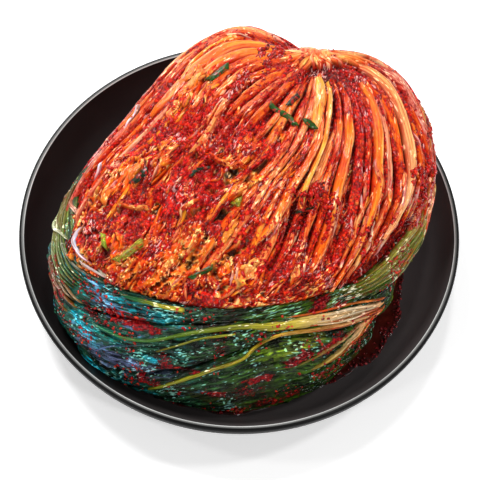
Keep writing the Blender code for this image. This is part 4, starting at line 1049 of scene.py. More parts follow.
# degrees, disc radius, half spans in degrees and radius, colour, strength, extra seasoning
PATCHES = [
    (221, 0.430, 7, 0.020, REFLECTED_CYAN, 0.9, 0), (213, 0.458, 5, 0.020, srgb(6, 128, 116), 0.8, 0), (226, 0.445, 12, 0.022, REFLECTED_LILAC, 0.55, 0), (236, 0.402, 7, 0.014, REFLECTED_CYAN, 0.55, 0), (240, 0.392, 9, 0.012, srgb(8, 110, 120), 0.8, 0),
    (224, 0.572, 4.5, 0.030, REFLECTED_CYAN, 1.0, -0.2), (228, 0.600, 3, 0.016, REFLECTED_CYAN, 0.8, 0), (245, 0.536, 2.2, 0.011, REFLECTED_CYAN, 1.0, 0), (251, 0.506, 2.6, 0.009, srgb(20, 140, 130), 0.9, 0), (229, 0.725, 4, 0.020, REFLECTED_CYAN, 0.8, 0),
    (232, 0.620, 9, 0.045, REFLECTED_LILAC, 0.45, 0), (241, 0.590, 8, 0.030, REFLECTED_LILAC, 0.35, 0), (240, 0.715, 6, 0.032, srgb(4, 104, 108), 1.0, -0.2), (230, 0.535, 10, 0.022, srgb(4, 110, 104), 0.8, 0),
    (284, 0.342, 5, 0.012, BRIGHTG, 1.0, -0.1), (294, 0.372, 5, 0.014, BRIGHTG, 0.9, -0.1), (290, 0.356, 10, 0.030, MIDG, 0.7, 0), (303, 0.410, 6, 0.022, OLIVE, 0.6, 0),
    (284, 0.474, 7, 0.024, srgb(96, 122, 20), 0.95, -0.1), (293, 0.486, 7, 0.018, srgb(116, 118, 22), 0.8, 0), (262, 0.640, 10, 0.032, DARKOLIVE, 1.0, -0.2), (271, 0.620, 7, 0.034, DARKOLIVE, 0.9, 0),
    (238, 0.437, 6, 0.018, RED, 0.5, 0.42), (230, 0.455, 3, 0.012, RED, 0.4, 0.36), (264, 0.628, 3, 0.014, RED, 0.3, 0.45), (300, 0.402, 5, 0.014, RED, 0.2, 0.34), (311, 0.450, 6, 0.020, RED, 0.2, 0.30),
    (288, 0.530, 4, 0.018, RED, 0.2, 0.34), (299, 0.560, 4, 0.020, RED, 0.2, 0.36), (276, 0.560, 4, 0.014, RED, 0.0, 0.30), (207, 0.590, 5, 0.024, RED, 0.5, 0.36), (222, 0.505, 4, 0.012, RED, 0.2, 0.34), (246, 0.640, 4, 0.020, RED, 0.1, 0.30),
    (255, 0.540, 5, 0.010, RED, 0.2, 0.30), (281, 0.700, 7, 0.030, RED, 0.1, 0.30), (340, 0.600, 8, 0.030, RED, 0.2, 0.28), (352, 0.680, 7, 0.040, RED, 0.2, 0.34),
]


def seat_rho(d):
    """Disc radius at which the skin comes down to the dish."""
    d = np.asarray(d, float)
    lo, hi = np.full(d.shape, 0.66), np.full(d.shape, 1.0)
    for _ in range(24):
        mid = (lo + hi) / 2
        q = polar(d, mid)
        p = dome(q[..., 0], q[..., 1])
        above = p[..., 2] - inside_z(np.hypot(p[..., 0], p[..., 1])) > 0.9 * MM
        lo, hi = np.where(above, mid, lo), np.where(above, hi, mid)
    return lo


def green_colour(D, rho, p, x, y, seed, far_from, wrinkle):
    """Teal at the left with painted cyan and lilac reflections, deep green in the middle, olive with pale fibres at the
    right.
    """
    mot = fbm(p * 90, 4, 22)
    broken = 0.9 * noise(np.stack([x / 7.0, y / 1.6, np.full_like(D, seed + 3)], -1), 23) + 0.5 * noise(np.stack([x / 2.5, y / 0.9, np.full_like(D, seed + 8)], -1), 24)
    c = mix(full(DARKG, D.shape), full(MIDG, D.shape), step(wrinkle * 0.7 + 0.9 * mot + 0.7 * broken, 0.0, 1.1))
    left = step(268 - D + 10 * mot, -10, 34)
    c = mix(c, full(TEAL, D.shape), left * np.clip(0.30 + 0.9 * mot + 0.35 * wrinkle + 0.8 * broken, 0, 1))
    far = step(D + 8 * mot, far_from, far_from + 24)
    line = noise(np.stack([x / 34.0, y / 1.5, np.full_like(D, seed + 6)], -1), 26)
    c = mix(c, mix(full(OLIVE, D.shape), full(srgb(176, 156, 70), D.shape), step(line, 0.0, 0.5)), far * 0.8)
    st = 0.27 + 0.42 * fbm(p * 55, 3, 27 + seed) + 0.14 * far
    for d0, r0, dd, dr, col, k, extra in PATCHES:
        near = 1 - np.hypot((D - d0) / dd, (rho - r0) / dr) / 1.5
        if near.max() <= -1:
            continue
        m = step(near + 1.25 * broken, 0.28, 0.44) * step(near, -0.25, 0.15)
        if extra >= 0.25:
            st = st + (extra - 0.02) * step(near + 0.45 * broken, 0.05, 0.45)
            m = step(near + 0.5 * broken, 0.1, 0.5) * 0.6
            col = srgb(70, 14, 14)
        c = mix(c, full(col, D.shape), m * k)
    # painted highlights: fine cyan and lilac glints of the left leaf
    glint = step(broken + 0.4 * noise(np.stack([x / 20.0, y / 6, np.full_like(D, seed + 9)], -1), 28), 0.62, 0.80) * left
    c = mix(c, full(mix(REFLECTED_CYAN, REFLECTED_LILAC, np.array(0.4)), D.shape), glint * 0.75)
    return with_stain(c, np.clip(st, 0, 1))


def green_band(bag, top, bottom, first, last, bulge, seed, far_from=335.0, rows=44):
    n = int((last - first) * 2.1)
    D1 = np.linspace(first, last, n)
    hi = edge(top, D1) + 0.002
    seat = seat_rho(D1)
    lo = np.minimum(edge(bottom, D1) + 0.008, seat) if bottom else seat
    T, D = np.meshgrid(np.linspace(0, 1, rows), D1)
    rho = hi[:, None] + (lo - hi)[:, None] * T
    q = polar(D, rho)
    flat_p = skin(q)
    x = np.concatenate([np.zeros((1, rows)), np.cumsum(np.linalg.norm(np.diff(flat_p, axis=0), axis=2), 0)], 0) / MM
    y = np.concatenate([np.zeros((n, 1)), np.cumsum(np.linalg.norm(np.diff(flat_p, axis=1), axis=2), 1)], 1) / MM
    ends = step(np.minimum((D - first) / 12, (last - D) / 12), 0, 1)
    warp = 2.2 * noise(np.stack([x / 22, y / 9, np.full_like(T, seed)], -1), 30)
    wrinkle = ridged(np.stack([x / 30.0, (y + warp) / 5.6, np.full_like(T, seed)], -1), 2, 31)
    fine = ridged(np.stack([x / 9.0, (y + warp) / 2.3, np.full_like(T, seed)], -1), 2, 35)
    pucker = noise(np.stack([x / 3.2, (y + warp) / 2.0, np.full_like(T, seed)], -1), 37)
    lip = step(T, 0, 0.07) * step(1 - T, 0, 0.07)
    pleat = (y + 2.2 * warp + 1.6 * noise(np.stack([x / 11, y / 7, np.full_like(T, seed)], -1), 38)) / 6.5 + 20 + 0.35 * seed
    pleat = pleat - np.floor(pleat)
    out = -2.0 + (1.6 + bulge * np.sin(np.pi * np.clip(T, 0.02, 0.98)) ** 0.5 + 1.1 * (1 - pleat) ** 1.4 + 0.8 * wrinkle + 0.60 * fine + 0.55 * pucker) * lip
    out = -3.4 + (out + 3.4) * (0.15 + 0.85 * ends)
    p = skin(q, out * MM)
    inner = skin(q[:, ::-4], np.full(q[:, ::-4].shape[:2], -4.0 * MM))
    c = green_colour(D, rho, p, x, y, seed, far_from, wrinkle + 0.5 * fine)
    # painted shade: darker along the top and bottom edges of the band, where it tucks under the next
    c[..., :3] *= (0.25 + 0.75 * step(T, 0.0, 0.05) * step(1 - T, 0.0, 0.06))[..., None]
    # painted shade: darker down in the wrinkles and behind each pleat
    dim = (0.22 + 0.9 * step(wrinkle + 0.45 * fine + 0.3 * pucker, -0.5, 0.6)) * (0.25 + 0.85 * step(1 - pleat, 0.0, 0.30))
    # painted highlight: lighter along the crest of each pleat
    c[..., :3] *= (1 + 0.9 * step(1 - pleat, 0.80, 0.93) * step(pucker, -0.3, 0.3))[..., None]
    g = np.stack([y + seed * 90, x, np.full_like(T, seed * 5.0)], -1)
    # painted shade: the underside of the band is painted near black
    ci = np.zeros(inner.shape[:2] + (4,)) + [0.002, 0.002, 0.002, 0]
    bag.tube(np.concatenate([p, inner], 1), np.concatenate([c, ci], 1), np.concatenate([g, g[:, ::-4]], 1), np.concatenate([dim, dim[:, ::-4]], 1))


leafA, leafB, leafC = Bag(), Bag(), Bag()
green_band(leafA, CUT_EDGE, SECOND_EDGE, 186, 362, 0.8, 1, far_from=312.0, rows=40)
green_band(leafB, SECOND_EDGE, THIRD_EDGE, 200, 336, 1.2, 2, far_from=322.0, rows=56)
green_band(leafC, THIRD_EDGE, None, 214, 326, 1.4, 3, far_from=350.0, rows=84)

# the leaf curled round the left side
curl = Bag()
n, m_ = 76, 26
T, W = np.meshgrid(np.linspace(0, 1, n), np.linspace(0, 1, m_), indexing="ij")
outer_line = catmull(np.array([(-0.50, 0.11), (-0.59, 0.02), (-0.645, -0.07), (-0.65, -0.15), (-0.60, -0.23), (-0.50, -0.30), (-0.38, -0.345)]), T * 6)
inner_line = catmull(np.array([(-0.47, 0.10), (-0.50, 0.00), (-0.46, -0.08), (-0.43, -0.135), (-0.39, -0.19), (-0.30, -0.235), (-0.22, -0.262)]), T * 6)
q = inner_line + (outer_line - inner_line) * W[..., None]
p0 = skin(q)
x = np.concatenate([np.zeros((1, m_)), np.cumsum(np.linalg.norm(np.diff(p0, axis=0), axis=2), 0)], 0) / MM
y = np.concatenate([np.zeros((n, 1)), np.cumsum(np.linalg.norm(np.diff(p0, axis=1), axis=2), 1)], 1) / MM
wr = ridged(np.stack([x / 14, (y + 1.5 * noise(np.stack([x / 12, y / 6], -1), 50)) / 3.0, np.full_like(x, 4.4)], -1), 3, 51)
ends = step(np.minimum(T / 0.10, (1 - T) / 0.14), 0, 1) * step(np.minimum(W / 0.06, (1 - W) / 0.10), 0, 1)
out = -2.6 + (3.2 + 1.0 * wr) * ends
pale = step(noise(np.stack([x / 18, y / 1.4, np.full_like(x, 2.0)], -1), 52), 0.0, 0.4)
c = mix(full(srgb(44, 62, 12), x.shape), full(srgb(134, 148, 76), x.shape), pale * step(wr, -0.4, 0.6))
c = mix(c, full(srgb(4, 56, 46), x.shape), step(T, 0.42, 0.66) * 0.85)
# painted reflection: cyan streaks in the middle of the curled leaf
c = mix(c, full(REFLECTED_CYAN, x.shape), step(T, 0.5, 0.7) * step(noise(np.stack([x / 7, y / 1.6, np.full_like(x, 3.0)], -1), 54), 0.25, 0.45) * 0.7)
c = with_stain(c, np.clip(0.26 + 0.40 * fbm(p0 * 70, 3, 53) + 0.3 * (1 - step(T, 0, 0.22)), 0, 1))
top_ = skin(q, out * MM)
low_ = skin(q[:, ::-3], np.full(q[:, ::-3].shape[:2], -3.0 * MM))
g = np.stack([y, x, np.full_like(x, 7.7)], -1)
# painted shade: the underside of the curled leaf is painted dark
curl.tube(np.concatenate([top_, low_], 1), np.concatenate([c, c[:, ::-3] * 0.3], 1), np.concatenate([g, g[:, ::-3]], 1))

GREENS = Bag().take(leafA, leafB, leafC, curl).tree()
midribs = Bag()


def midrib(points, widths, height, stops, seed, stain=0.26, lift=0.3, ends=(0.10, 0.06), bag=midribs):
    """A stem lying on the green leaves. Points are (degrees, disc radius)."""
    pts = np.array(points, float)
    widths = tuple(0.85 * w for w in widths)
    height, lift, stain = height * 0.85, lift - 0.35, stain + 0.04
    stops = [(t, np.array(c) * (0.76 if t < 0.55 else 1.05)) for t, c in stops]
    ribbon(bag, polar(pts[:, 0], pts[:, 1]), widths, height, fade(*stops), stain, seed, base_lift=lift, ends=ends, on=GREENS, groove=0.35, wob=0.2, steps=7, step_mm=1.2)


PEACHW, HOT = srgb(240, 196, 140), srgb(232, 76, 14)
midrib([(224, 0.396), (228, 0.387), (235, 0.371), (242, 0.361), (250, 0.351)], (1.8, 3.0, 3.4, 3.4), 1.5, [(0, srgb(4, 90, 70)), (0.35, GREENV), (0.6, YELLOWG), (0.93, srgb(196, 180, 50)), (1, srgb(10, 60, 40))], 1, 0.14, ends=(0.15, 0.03))
midrib([(220, 0.566), (223, 0.539), (229, 0.516), (236, 0.498), (244, 0.464), (252, 0.417), (260, 0.387), (272, 0.373), (281, 0.388), (292, 0.412), (297, 0.431), (304, 0.474), (310, 0.513), (315, 0.552), (320, 0.605), (327, 0.680)], (1.8, 2.2, 2.4, 2.6, 3.4, 4.8, 7.0, 8.6, 6.4, 1.6), 1.7,
       [(0, srgb(20, 140, 120)), (0.12, srgb(16, 120, 70)), (0.28, srgb(90, 140, 20)), (0.5, YELLOWG), (0.64, srgb(196, 178, 50)), (0.76, PEACHW), (0.88, STEMW), (0.95, srgb(240, 164, 96)), (1, HOT)], 2, 0.12, ends=(0.10, 0.10))
for j, off in enumerate((-0.018, 0.0, 0.016)):
    midrib([(292, 0.412 + off * 0.4), (298, 0.441 + off * 0.7), (304, 0.474 + off), (310, 0.513 + off * 1.1), (316, 0.562 + off * 0.8), (324, 0.650 + off * 0.3)], (0.8, 1.7, 0.8), 0.6, [(0, PEACHW), (0.5, srgb(246, 220, 184)), (0.85, [srgb(240, 196, 150), srgb(248, 228, 200), HOT][j]), (1, HOT)], 30 + j, 0.12, 2.0, ends=(0.2, 0.25))
midrib([(292, 0.426), (298, 0.452), (306, 0.500), (313, 0.560), (321, 0.645)], (1.0, 1.8, 2.0), 1.6, [(0, HOT), (0.5, srgb(230, 110, 30)), (1, HOT)], 34, 0.40, 0.8)
for j, side_pts in enumerate(([(282, 0.374), (290, 0.384), (298, 0.412), (306, 0.450), (314, 0.507), (321, 0.583), (327, 0.672)], [(287, 0.434), (294, 0.456), (301, 0.494), (308, 0.543), (314, 0.588), (321, 0.640), (327, 0.686)])):
    midrib(side_pts, (0.8, 1.7, 1.5, 0.9), 1.3, [(0, srgb(206, 110, 30)), (0.4, srgb(222, 66, 20)), (0.7, srgb(238, 130, 60)), (1, HOT)], 36 + j, 0.34, 0.9, ends=(0.2, 0.2))
midrib([(244, 0.513), (249, 0.472), (253, 0.443), (258, 0.416), (264, 0.400), (270, 0.392)], (1.0, 1.6, 1.6), 1.2, [(0, OLIVE), (0.5, YELLOWG), (1, YELLOWG)], 3, 0.24)
# painted reflection: a thin vein painted lilac and blue
midrib([(228, 0.650), (232, 0.570), (237, 0.522), (245, 0.474)], (0.8, 1.1, 0.8), 0.8, [(0, REFLECTED_LILAC), (0.5, srgb(60, 120, 160)), (1, srgb(90, 130, 110))], 4, 0.12)
midrib([(243, 0.755), (246, 0.689), (250, 0.632), (256, 0.567), (263, 0.513), (268, 0.490), (272, 0.470), (275, 0.445), (282, 0.421), (288, 0.430), (293, 0.446), (300, 0.478), (307, 0.529), (319, 0.632)], (2.0, 2.6, 2.6, 2.4, 2.4, 2.8, 3.4, 2.4), 1.5,
       [(0, srgb(96, 120, 20)), (0.15, YELLOWG), (0.45, srgb(176, 166, 30)), (0.6, srgb(206, 160, 50)), (0.8, srgb(222, 150, 80)), (1, STEMW)], 5, 0.22)
midrib([(288, 0.600), (295, 0.604), (301, 0.607), (306, 0.611), (312, 0.622), (319, 0.642), (327, 0.688)], (1.0, 2.8, 4.2, 3.6, 1.2), 1.5, [(0, OLIVE), (0.22, srgb(206, 170, 70)), (0.5, srgb(244, 206, 150)), (0.72, srgb(240, 160, 84)), (1, HOT)], 6, 0.20, ends=(0.15, 0.2))
midrib([(292, 0.618), (299, 0.622), (306, 0.628), (313, 0.640), (320, 0.660), (327, 0.694)], (0.8, 1.3, 1.3, 0.8), 1.2, [(0, OLIVE), (0.3, srgb(226, 120, 40)), (1, srgb(236, 96, 24))], 9, 0.24, 0.6, ends=(0.2, 0.2))
midrib([(284, 0.560), (290, 0.556), (296, 0.560), (302, 0.572), (308, 0.590), (315, 0.622), (323, 0.668)], (0.8, 1.7, 2.6, 1.8, 0.8), 1.2, [(0, GREENV), (0.3, srgb(190, 150, 60)), (0.6, srgb(238, 190, 136)), (1, HOT)], 7, 0.34, ends=(0.15, 0.2))
midrib([(283, 0.615), (289, 0.628), (295, 0.638), (301, 0.645), (308, 0.662), (315, 0.690)], (0.9, 1.6, 1.8), 1.1, [(0, DARKG), (0.5, srgb(40, 84, 16)), (1, srgb(120, 84, 24))], 8, 0.30, bag=curl)
for j in range(10):
    f = j / 9
    midrib([(284 + 6 * f, 0.66 + 0.13 * f), (292 + 5 * f, 0.68 + 0.12 * f), (300 + 4 * f, 0.69 + 0.11 * f), (309 + 4 * f, 0.70 + 0.09 * f), (316 + 3 * f, 0.73 + 0.07 * f)], (0.8, 1.5, 1.0), 0.9, [(0, DARKG), (0.4, [MIDG, DARKOLIVE, srgb(30, 84, 14)][j % 3]), (1, [srgb(26, 56, 14), DARKOLIVE, srgb(110, 44, 16)][j % 3])], 60 + j, 0.26, bag=curl)
# strands sweeping up the right-hand end of the top leaf
STRAND = [srgb(84, 100, 18), srgb(156, 160, 48), srgb(190, 190, 84), srgb(58, 100, 16), srgb(196, 170, 80), srgb(214, 204, 150), srgb(190, 110, 34), srgb(120, 144, 36)]
for j in range(30):
    f = ((j * 11) % 30) / 29
    d0, d1 = 304 + 16 * rng.uniform(), 344 + 18 * rng.uniform()
    ds = np.linspace(d0, d1, 7)
    top_r = edge(CUT_EDGE, ds) + 0.008
    low_r = np.minimum(edge(SECOND_EDGE, ds), top_r + 0.15) - 0.006
    r = top_r + (low_r - top_r) * (0.04 + 0.92 * f)
    c0, c1 = STRAND[rng.integers(4)], STRAND[rng.integers(8)]
    midrib(list(zip(ds, r)), (0.8, rng.uniform(0.9, 1.9), 0.8), 1.2, [(0, MIDG), (0.35, c0), (0.75, c1), (1, STRAND[rng.integers(1, 8)])], 80 + j, rng.uniform(0.16, 0.36), rng.uniform(-0.3, 0.5))
# pale stems and turned edges at the left
COOL = srgb(208, 198, 196)
ribbon(midribs, [(-0.516, -0.030), (-0.490, -0.070), (-0.441, -0.101), (-0.428, -0.150), (-0.405, -0.184), (-0.351, -0.212), (-0.295, -0.250), (-0.262, -0.266)], (1.4, 2.8, 3.2, 2.6, 1.8, 1.0), 1.3, fade((0, srgb(214, 110, 80)), (0.25, PINKW), (0.45, COOL), (0.75, srgb(196, 182, 170)), (1, srgb(130, 120, 50))), 0.14, 41, base_lift=0.6, on=GREENS)
ribbon(midribs, [(-0.470, -0.060), (-0.432, -0.105), (-0.412, -0.150), (-0.382, -0.190), (-0.330, -0.220)], (1.0, 2.0, 1.6, 0.7), 1.1, fade((0, PINKW), (0.5, srgb(226, 196, 196)), (1, srgb(190, 60, 40))), 0.24, 42, base_lift=0.3, on=GREENS)
ribbon(midribs, [(-0.500, -0.130), (-0.482, -0.176), (-0.431, -0.219), (-0.357, -0.247), (-0.297, -0.266)], (0.8, 1.5, 1.5, 0.8), 1.0, fade((0, srgb(90, 110, 40)), (0.4, srgb(150, 150, 140)), (1, srgb(60, 110, 90))), 0.26, 43, base_lift=0.2, on=GREENS)
ribbon(midribs, [(-0.598, -0.020), (-0.632, -0.060), (-0.625, -0.105), (-0.570, -0.128), (-0.505, -0.145), (-0.440, -0.168)], (1.0, 2.0, 2.8, 2.0, 1.0), 1.3, fade((0, srgb(90, 110, 40)), (0.3, srgb(176, 190, 130)), (0.6, srgb(224, 226, 200)), (1, srgb(130, 140, 80))), 0.12, 44, base_lift=0.6, on=GREENS)
for j in range(6):
    f = j / 5
    ribbon(midribs, [(-0.53 - 0.07 * f, 0.03 - 0.02 * f), (-0.52 - 0.075 * f, -0.06), (-0.49 - 0.075 * f, -0.14 - 0.02 * f), (-0.44 - 0.07 * f, -0.21 - 0.03 * f), (-0.36 - 0.05 * f, -0.265 - 0.03 * f)], (0.7, 1.3, 0.8), 0.9,
           fade((0, [srgb(150, 80, 40), OLIVE][j % 2]), (0.5, [srgb(104, 130, 50), srgb(160, 166, 110)][j % 2]), (1, [TEAL, GREENV][j % 2])), 0.30, 45 + j, base_lift=0.3, on=GREENS)
for j, pts in enumerate([[(-0.575, -0.190), (-0.560, -0.225), (-0.543, -0.262), (-0.504, -0.299), (-0.450, -0.325), (-0.410, -0.343)], [(-0.530, -0.190), (-0.503, -0.226), (-0.470, -0.274), (-0.426, -0.307), (-0.39, -0.330)], [(-0.590, -0.240), (-0.575, -0.285), (-0.530, -0.330), (-0.470, -0.362)], [(-0.548, -0.215), (-0.525, -0.255), (-0.480, -0.295), (-0.43, -0.325)]]):
    ribbon(midribs, pts, (1.0, 1.9, 1.5, 0.8), 1.1, fade((0, srgb(110, 40, 20)), (0.4, [srgb(190, 140, 130), srgb(60, 60, 20)][j % 2]), (0.8, [srgb(90, 60, 24), srgb(176, 150, 120)][j % 2]), (1, OLIVE)), 0.38, 52 + j, base_lift=0.3, on=GREENS)

# =====================================================================================================
# outer stems: layers of leaf base that wrap round the sides and back from the root
# =====================================================================================================
stems = Bag()


def outer_stem(d0, d1, r0, r1, width, lift, base, stain, seed):
    """From angle d0 at disc radius r0 to angle d1 at r1, width in mm."""
    dd = np.linspace(d0, d1, 60)
    seg = skin(polar(dd, r0 + (r1 - r0) * np.linspace(0, 1, 60)))
    length = np.linalg.norm(np.diff(seg, axis=0), axis=1).sum() / MM
    ph = rng.uniform(0, 6.28, 2)

    def path(T, W):
        D = d0 + (d1 - d0) * T
        w = width * (0.55 + 0.45 * np.sin(np.pi * np.clip(T, 0, 1)) ** 0.5) / 150.0
        return polar(D, r0 + (r1 - r0) * T + W * w / 2 + 0.010 * np.sin(T * 4 + ph[0]) + 0.005 * np.sin(T * 11 + ph[1]))

    def out(T, W):
        e = step(np.minimum(T / 0.08, (1 - T) / 0.10), 0, 1)
        wave = 0.6 * noise(np.stack([T * length / 20, W * 0.8, np.full_like(T, seed)], -1), 51) + 0.3 * noise(np.stack([T * 5, W * 7, np.full_like(T, seed)], -1), 52)
        return -2.4 + (2.4 + lift + 1.5 * (1 - np.abs(W) ** 2.2) - 0.9 * (W * 0.5 + 0.5) + wave) * e

    strip(stems, path, length, width, out, rib_colour(base, stain, seed, -1.0), seed, width_steps=7, floor=-2.6, step_mm=2.0)


sid = 100
for layer in range(13):
    r = 0.585 + 0.029 * layer
    for d0, d1 in ((66, -34 + layer * 2), (66, 192)):
        base = mix(mix(PALE, PEACH, np.array(rng.uniform(0.1, 0.9))), PINKW, np.array(rng.uniform(0, 0.5)))
        outer_stem(d0 + rng.uniform(-4, 4), d0 + (d1 - d0) * rng.uniform(0.86, 1.0), r - 0.05, r + rng.uniform(-0.01, 0.02), rng.uniform(3.4, 7.0), rng.uniform(-0.9, 0.5) - (1.0 if d1 > 66 else 0.0), base, rng.uniform(0.44, 0.68), sid)
        sid += 1

# stubs of the core at the root
core = Bag()


def lump(q, size, colour, seed, turn=0.0, lift=0.5, stain=0.25):
    n, m = 16, 20
    th = np.linspace(0, np.pi, n)[:, None]
    ph = np.linspace(0, 2 * np.pi, m, endpoint=False)[None, :]
    s = np.stack([np.broadcast_to(np.cos(th), (n, m)), np.sin(th) * np.cos(ph), np.sin(th) * np.sin(ph)], -1)
    s = s * (1 + 0.22 * noise(s * 1.7 + seed, 3) + 0.07 * noise(s * 5 + seed, 4))[..., None]
    c0, nn = dome(*q), normal(np.array(q[0]), np.array(q[1]))
    h = heading_at(0.5, 0.02) + turn
    xx = dome(q[0] + 0.01 * math.cos(h), q[1] + 0.01 * math.sin(h)) - c0
    xx = xx - nn * (xx @ nn)
    xx /= np.linalg.norm(xx)
    yy = np.cross(nn, xx)
    p = c0 + nn * lift * MM + (s[..., :1] * xx * size[0] + s[..., 1:2] * yy * size[1] + s[..., 2:] * nn * size[2]) * MM / 2
    col = mix(full(colour, (n, m)), full(BRIGHT, (n, m)), np.clip(0.25 + 0.9 * fbm(p * 130, 3, 6), 0, 1))
    g = np.stack([p[..., 0] / MM, p[..., 1] / MM * 0.6, p[..., 2] / MM], -1)
    core.tube(rest_on_dish(p), with_stain(col, np.clip(stain + 0.35 * fbm(p * 80, 3, 7), 0, 1)), g)


for j, (u, v, lx, ly, lz, cc, tn) in enumerate([(0.19, 0.392, 17, 12, 5.6, srgb(246, 160, 80), 0.9), (0.222, 0.385, 12, 9, 5.4, srgb(250, 192, 96), 0.5), (0.13, 0.375, 12, 8, 2.6, srgb(238, 140, 80), -0.2)]):
    lump((u, v), (lx, ly, lz), cc, j * 3.3, tn, lift=0.7, stain=0.30)
ROOT_TINTS = [srgb(250, 190, 96), srgb(246, 156, 66), srgb(248, 120, 30), srgb(250, 206, 128), srgb(246, 160, 100), srgb(242, 134, 56)]
for j in range(22):
    f = (j + 0.5) / 22
    turn = math.radians(196 + 164 * f + rng.uniform(-5, 5))
    start = np.array([0.195 + 0.030 * math.cos(turn), 0.392 + 0.016 * math.sin(turn)])
    reach_ = rng.uniform(0.07, 0.15)
    end = start + reach_ * np.array([math.cos(turn), 0.85 * math.sin(turn)])
    middle = (start + end) / 2 + rng.normal(0, 0.003, 2)
    ribbon(core, [start, middle, end], (rng.uniform(1.8, 2.6), rng.uniform(2.6, 4.0), rng.uniform(1.4, 2.2)), rng.uniform(1.2, 1.9), fade((0, ROOT_TINTS[rng.integers(6)]), (0.6, ROOT_TINTS[rng.integers(6)]), (1, BRIGHT)), rng.uniform(0.20, 0.38), 300 + j, base_lift=rng.uniform(0.6, 1.6), wob=0.4, groove=0.5)

# =====================================================================================================
# seasoning: one sheet over everything, deep between the ribs and piled on top of them in patches
# =====================================================================================================
GRID = 292


def spaced(lo, hi, inside):
    """GRID stations from -1 to 1, with the given share of them between lo and hi."""
    k = int(GRID * inside)
    rest = GRID - k
    left = max(4, int(rest * (lo + 1) / (lo + 1 + 1 - hi)))
    return np.concatenate([np.linspace(-1, lo, left, endpoint=False), np.linspace(lo, hi, k, endpoint=False), np.linspace(hi, 1, rest - left)])


X, Y = np.meshgrid(spaced(-0.66, 0.68, 0.82), spaced(-0.40, 0.58, 0.80), indexing="ij")
Q = np.stack([X * np.sqrt(1 - Y**2 / 2), Y * np.sqrt(1 - X**2 / 2)], -1).reshape(-1, 2) * 0.999
base_p = dome(Q[:, 0], Q[:, 1])
nrm = normal(Q[:, 0], Q[:, 1])
tree = Bag().take(ribs, stems, core).tree()
TOP = 12 * MM
top_h = np.full(len(Q), -0.0020)
for i in range(len(Q)):
    o = base_p[i] + nrm[i] * TOP
    hit = tree.ray_cast(Vector(o), Vector(-nrm[i]), TOP + 3.0 * MM)
    if hit[0] is not None:
        top_h[i] = TOP - hit[3]

def seasoning(q, p, a, s, gap):
    """Thickness in mm of the seasoning over whatever lies beneath, negative where it stays down in the gaps."""
    spot = blobs(q, HEAPS) - blobs(q, BARE)
    x = (a - 0.5) * spread(s)
    patch = 0.8 * fbm(np.stack([x / 9, s * 120 / 24, np.full(len(q), 2.2)], -1), 4, 61) + 0.7 * fbm(p * 110, 3, 62) + 0.55 * fbm(p * 330, 3, 65)
    clear = step(a, 0.5, 0.60) * step(s, 0.16, 0.3) * (1 - step(gap, 0.0, 0.05))
    low = step(s, 0.36, 0.62) * step(a, 0.46, 0.58)
    return -0.75 + 1.5 * patch + 1.1 * spot - 0.45 * clear * (1 - 0.8 * low) + 0.28 * low + 0.15 * step(gap, 0.0, 0.08)


A, S, GAP = fan_of(Q)
RHO = np.hypot(Q[:, 0], Q[:, 1])
DEG = np.degrees(np.arctan2(Q[:, 1], Q[:, 0])) % 360
DEG = np.where(DEG < 8, DEG + 360, DEG)
t = seasoning(Q, base_p, A, S, GAP)
crumple = crumple_zone(A, S) * (1 - step(GAP, 0.0, 0.05))
x, y = (A - 0.5) * spread(S), S * 120
fold = ridged(np.stack([x / 6.5 + 1.1 * noise(np.stack([x / 16, y / 14], -1), 68), y / 17, np.full(len(Q), 1.0)], -1), 3, 69)
d1, tag = grains(base_p / (2.7 * MM), 1)
d2, tag2 = grains(base_p / (1.5 * MM), 2)
lumps = 0.95 * (0.55 - d1) + 0.45 * (0.5 - d2)
cover_t = np.clip(t, -2.6, 1.3)
g2 = np.clip(top_h / MM, -2, 5).reshape(GRID, GRID)
soft_ = g2
for _ in range(2):
    pad = np.pad(soft_, 4, mode="edge")
    soft_ = sum(pad[i : i + GRID, 4 : 4 + GRID] for i in range(9)) / 9
    pad = np.pad(soft_, 4, mode="edge")
    soft_ = sum(pad[4 : 4 + GRID, i : i + GRID] for i in range(9)) / 9
# painted shade: darker in the gaps between the ribs and where the seasoning lies low
gap_shade = 0.40 + 0.60 * step((g2 - soft_).ravel() + 0.7 * np.clip(cover_t, -1.5, 1.0), -1.3, 0.1)
h_mm = cover_t + lumps * np.where(t > -0.8, 1.0, 0.5)
fold_h = -1.2 * crumple
hole = hollow(Q)
under = np.where((DEG > 188) & (DEG < 360), step(RHO, edge(CUT_EDGE, DEG) + 0.004, edge(CUT_EDGE, DEG) + 0.02), 0) * step(np.minimum((DEG - 188) / 10, (358 - DEG) / 10), 0, 1)
ground = np.clip(top_h / MM, -3.0, 6.0)
total = (ground + h_mm + fold_h) * (1 - under) - 5.5 * under - 4.5 * hole
total = np.minimum(total, 4.6)
total *= 1 - 0.75 * step(RHO, 0.90, 1.0)
surf = rest_on_dish(base_p + nrm * (total * MM)[:, None])
leaf_here = np.clip(crumple, 0, 1)
crest = step(fold, -0.05, 0.75)
pcol = mix(full(BRIGHT, (len(Q),)), full(ORANGE, (len(Q),)), crest)
pcol = mix(pcol, full(AMBER, (len(Q),)), step(fold, 0.45, 0.95) * 0.7)
stain = 0.95 - leaf_here * (0.55 * crest - 0.20 * step(t, -0.4, 0.8)) + 0.2 * hole
stain = np.where(t < -1.2, 1.0, stain)
